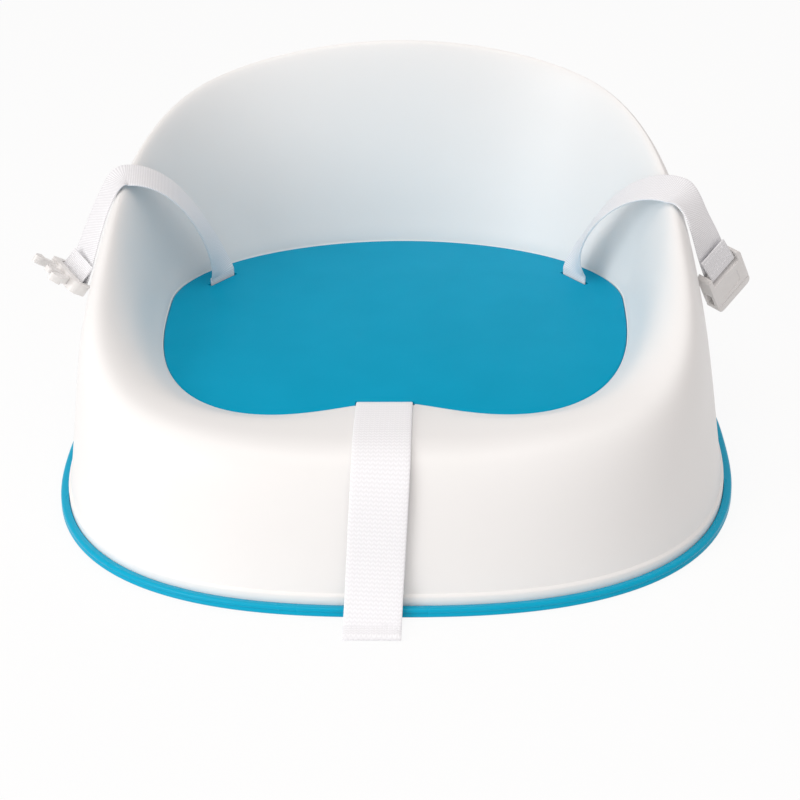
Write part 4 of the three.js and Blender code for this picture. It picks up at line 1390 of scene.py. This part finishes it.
def female_half():
    end = BUCKLE_WEB + FEMALE["length"]
    body = buckle_body("buckle_socket", FEMALE["length"], FEMALE["thickness"])
    mouth = plain_block(
        "mouth",
        (-MOUTH["width"] / 2, end - MOUTH["depth"], -MOUTH["height"] / 2),
        (MOUTH["width"] / 2, end + BUCKLE_OVERCUT, MOUTH["height"] / 2),
    )
    middle = end - MOUTH["depth"] + WINDOW["back"]
    window = plain_block(
        "window",
        (-LAP_WIDTH, middle - WINDOW["length"] / 2, -WINDOW["height"] / 2),
        (LAP_WIDTH, middle + WINDOW["length"] / 2, WINDOW["height"] / 2),
    )
    body = combine(body, mouth, "DIFFERENCE")
    body = combine(body, window, "DIFFERENCE")
    panel_start = BUCKLE_WEB + PANEL["start"]
    for side in (-1, 1):
        face = side * FEMALE["thickness"] / 2
        step = plain_block(
            "step",
            (-LAP_WIDTH, end - GRIP_STEP["start"], face - GRIP_STEP["depth"]),
            (LAP_WIDTH, end - GRIP_STEP["end"], face + GRIP_STEP["depth"]),
        )
        body = combine(body, step, "DIFFERENCE")
        outline = rounded_outline(PANEL["half_width"], panel_start, end - PANEL["end"], PANEL["corner"])
        body = combine(body, plate("panel", outline, PANEL["depth"], face), "DIFFERENCE")
    eased(body, FEMALE["ease"])
    return joined("buckle_socket", [body, bar_piece()])


def arm_root():
    return BUCKLE_WEB + MALE["shoulder"] - MALE["root"]


def arm_outline(side):
    outline = []
    for curve in ARM_CURVES:
        points = [Vector((side * x, arm_root() + y)) for x, y in curve]
        for i in range(STEPS_ARM + 1):
            point = bezier(points, i / STEPS_ARM)
            if not outline or (Vector(outline[-1]) - point).length > 0.02:
                outline.append((point.x, point.y))
    return outline


def male_half():
    root = arm_root()
    body = buckle_body("buckle_plug", MALE["shoulder"], MALE["thickness"])
    outline = rounded_outline(GUIDE["width"] / 2, root + GUIDE["start"], root + GUIDE["end"], GUIDE["corner"])
    body = combine(body, plate("guide", outline, GUIDE["thickness"]), "UNION")
    for side in (-1, 1):
        body = combine(body, plate("arm", arm_outline(side), ARM_THICKNESS), "UNION")
    eased(body, MALE["ease"])
    return joined("buckle_plug", [body, bar_piece()])


def seat_buckle(piece, side, body, node):
    piece.data.transform(buckle_matrix(lap_frame(side)))
    finished(piece, bpy.data.materials["Fitting moulded plastic"], 30)
    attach(piece, body)
    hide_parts(node)


class BOOSTER_OT_buckle(bpy.types.Operator):
    """Make both halves of the side-release buckle and finish the strap stops"""
    bl_idname = "booster.buckle"
    bl_label = "Buckle and stops"

    def execute(self, context):
        material = fitting_material()
        seat_buckle(female_half(), "right", "buckle_right", "buckle_female")
        seat_buckle(male_half(), "left", "buckle_left", "buckle_male")
        for name in ("strap_stop_right", "strap_stop_left", "strap_stop_front"):
            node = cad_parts[name]
            node.data.materials.clear()
            node.data.materials.append(material)
        return {"FINISHED"}


# Stage, whose floor shows its real shade only under the seat

def mixed(tree, factor, first, second):
    node = tree.nodes.new("ShaderNodeMixShader")
    for target, output in zip(node.inputs, (factor, first, second)):
        tree.links.new(output, target)
    return node.outputs[0]


def whitened(tree, shader, share):
    """Shows the camera, mirrors and glass a share of plain white and lights the rest with the shader."""
    path = tree.nodes.new("ShaderNodeLightPath")
    seen = math_node(tree, "MAXIMUM", path.outputs["Is Camera Ray"], path.outputs["Is Glossy Ray"])
    seen = math_node(tree, "MAXIMUM", seen, path.outputs["Is Transmission Ray"])
    white = new_node(tree, "ShaderNodeEmission", Color=(1, 1, 1, 1))
    return mixed(tree, math_node(tree, "MULTIPLY", seen, share), shader, white.outputs[0])


def floor_material(colour):
    material = bpy.data.materials.new("Studio floor")
    material.use_nodes = True
    tree = material.node_tree
    tree.nodes.clear()
    diffuse = new_node(tree, "ShaderNodeBsdfDiffuse", Color=(*colour, 1))
    place = tree.nodes.new("ShaderNodeTexCoord")
    distance = tree.nodes.new("ShaderNodeVectorMath")
    distance.operation = "LENGTH"
    tree.links.new(place.outputs["Object"], distance.inputs[0])
    clear = math_node(tree, "GREATER_THAN", distance.outputs["Value"], UNDER_SEAT * MM)
    share = math_node(tree, "MULTIPLY", clear, FLOOR_WHITE)
    output = tree.nodes.new("ShaderNodeOutputMaterial")
    tree.links.new(whitened(tree, diffuse.outputs[0], share), output.inputs[0])
    return material


def world_light(strength):
    world = bpy.data.worlds.new("Studio")
    bpy.context.scene.world = world
    world.use_nodes = True
    tree = world.node_tree
    tree.nodes.clear()
    soft = new_node(tree, "ShaderNodeBackground", Color=(*ROUND_COLOUR, 1), Strength=strength)
    white = new_node(tree, "ShaderNodeBackground", Color=(1, 1, 1, 1))
    path = tree.nodes.new("ShaderNodeLightPath")
    shown = mixed(tree, path.outputs["Is Camera Ray"], soft.outputs[0], white.outputs[0])
    output = tree.nodes.new("ShaderNodeOutputWorld")
    tree.links.new(shown, output.inputs[0])


def area_light(name, place, power, colour):
    light = bpy.data.lights.new(name, "AREA")
    light.shape = "DISK"
    light.size = LAMP_SIZE
    light.energy = power
    light.color = colour
    lamp = bpy.data.objects.new(name, light)
    bpy.context.scene.collection.objects.link(lamp)
    lamp.location = place
    lamp.rotation_euler = (Vector(LAMP_AIM) - Vector(place)).to_track_quat("-Z", "Y").to_euler()


class BOOSTER_OT_stage(bpy.types.Operator):
    """Set the floor, the soft lights and the camera"""
    bl_idname = "booster.stage"
    bl_label = "Stage"

    def execute(self, context):
        settings = context.scene.booster_stage
        mesh = bpy.data.meshes.new("floor")
        corners = [(x * FLOOR_HALF, y * FLOOR_HALF, 0) for x, y in ((-1, -1), (1, -1), (1, 1), (-1, 1))]
        mesh.from_pydata(corners, [], [(0, 1, 2, 3)])
        floor = new_object("floor", mesh)
        mesh.materials.append(floor_material(tuple(settings.floor_colour)))
        world_light(settings.fill)
        for name, lamp in LAMPS.items():
            area_light(name, lamp["place"], getattr(settings, name), lamp["colour"])
        camera = bpy.data.cameras.new("camera")
        camera.lens = CAMERA["lens"]
        camera.sensor_width = CAMERA["sensor"]
        camera.clip_start = 0.05
        view = bpy.data.objects.new("camera", camera)
        context.scene.collection.objects.link(view)
        right = Vector(CAMERA["right"]).normalized()
        up = Vector(CAMERA["up"])
        up = (up - right * right.dot(up)).normalized()
        back = right.cross(up)
        place = Vector(CAMERA["place"])
        rows = [[right[i], up[i], back[i], place[i]] for i in range(3)]
        view.matrix_world = Matrix([*rows, [0, 0, 0, 1]])
        context.scene.camera = view
        context.scene.view_settings.view_transform = "Standard"
        return {"FINISHED"}


class BOOSTER_PT_panel(bpy.types.Panel):
    """Sizes, colours and pieces of the booster seat"""
    bl_idname = "BOOSTER_PT_panel"
    bl_label = "Booster seat"
    bl_space_type = "VIEW_3D"
    bl_region_type = "UI"
    bl_category = "Booster seat"

    def draw(self, context):
        layout = self.layout
        for group in SETTINGS:
            settings = getattr(context.scene, group)
            box = layout.box()
            for name in settings.__annotations__:
                box.prop(settings, name)
        for operator in OPERATORS:
            layout.operator(operator.bl_idname)


SETTINGS = {
    "booster_shell": ShellSettings,
    "booster_pad": PadSettings,
    "booster_harness": HarnessSettings,
    "booster_stage": StageSettings,
}
OPERATORS = (
    BOOSTER_OT_seat_shell,
    BOOSTER_OT_base_ring,
    BOOSTER_OT_seat_pad,
    BOOSTER_OT_harness,
    BOOSTER_OT_buckle,
    BOOSTER_OT_stage,
)


def register():
    for cls in (*SETTINGS.values(), *OPERATORS, BOOSTER_PT_panel):
        bpy.utils.register_class(cls)
    for name, cls in SETTINGS.items():
        setattr(bpy.types.Scene, name, PointerProperty(type=cls))


def unregister():
    for name in SETTINGS:
        delattr(bpy.types.Scene, name)
    for cls in reversed((*SETTINGS.values(), *OPERATORS, BOOSTER_PT_panel)):
        bpy.utils.unregister_class(cls)


def main():
    register()
    bpy.ops.booster.seat_shell()
    bpy.ops.booster.base_ring()
    bpy.ops.booster.seat_pad()
    bpy.ops.booster.harness()
    bpy.ops.booster.buckle()
    bpy.ops.booster.stage()


if __name__ == "__main__":
    main()
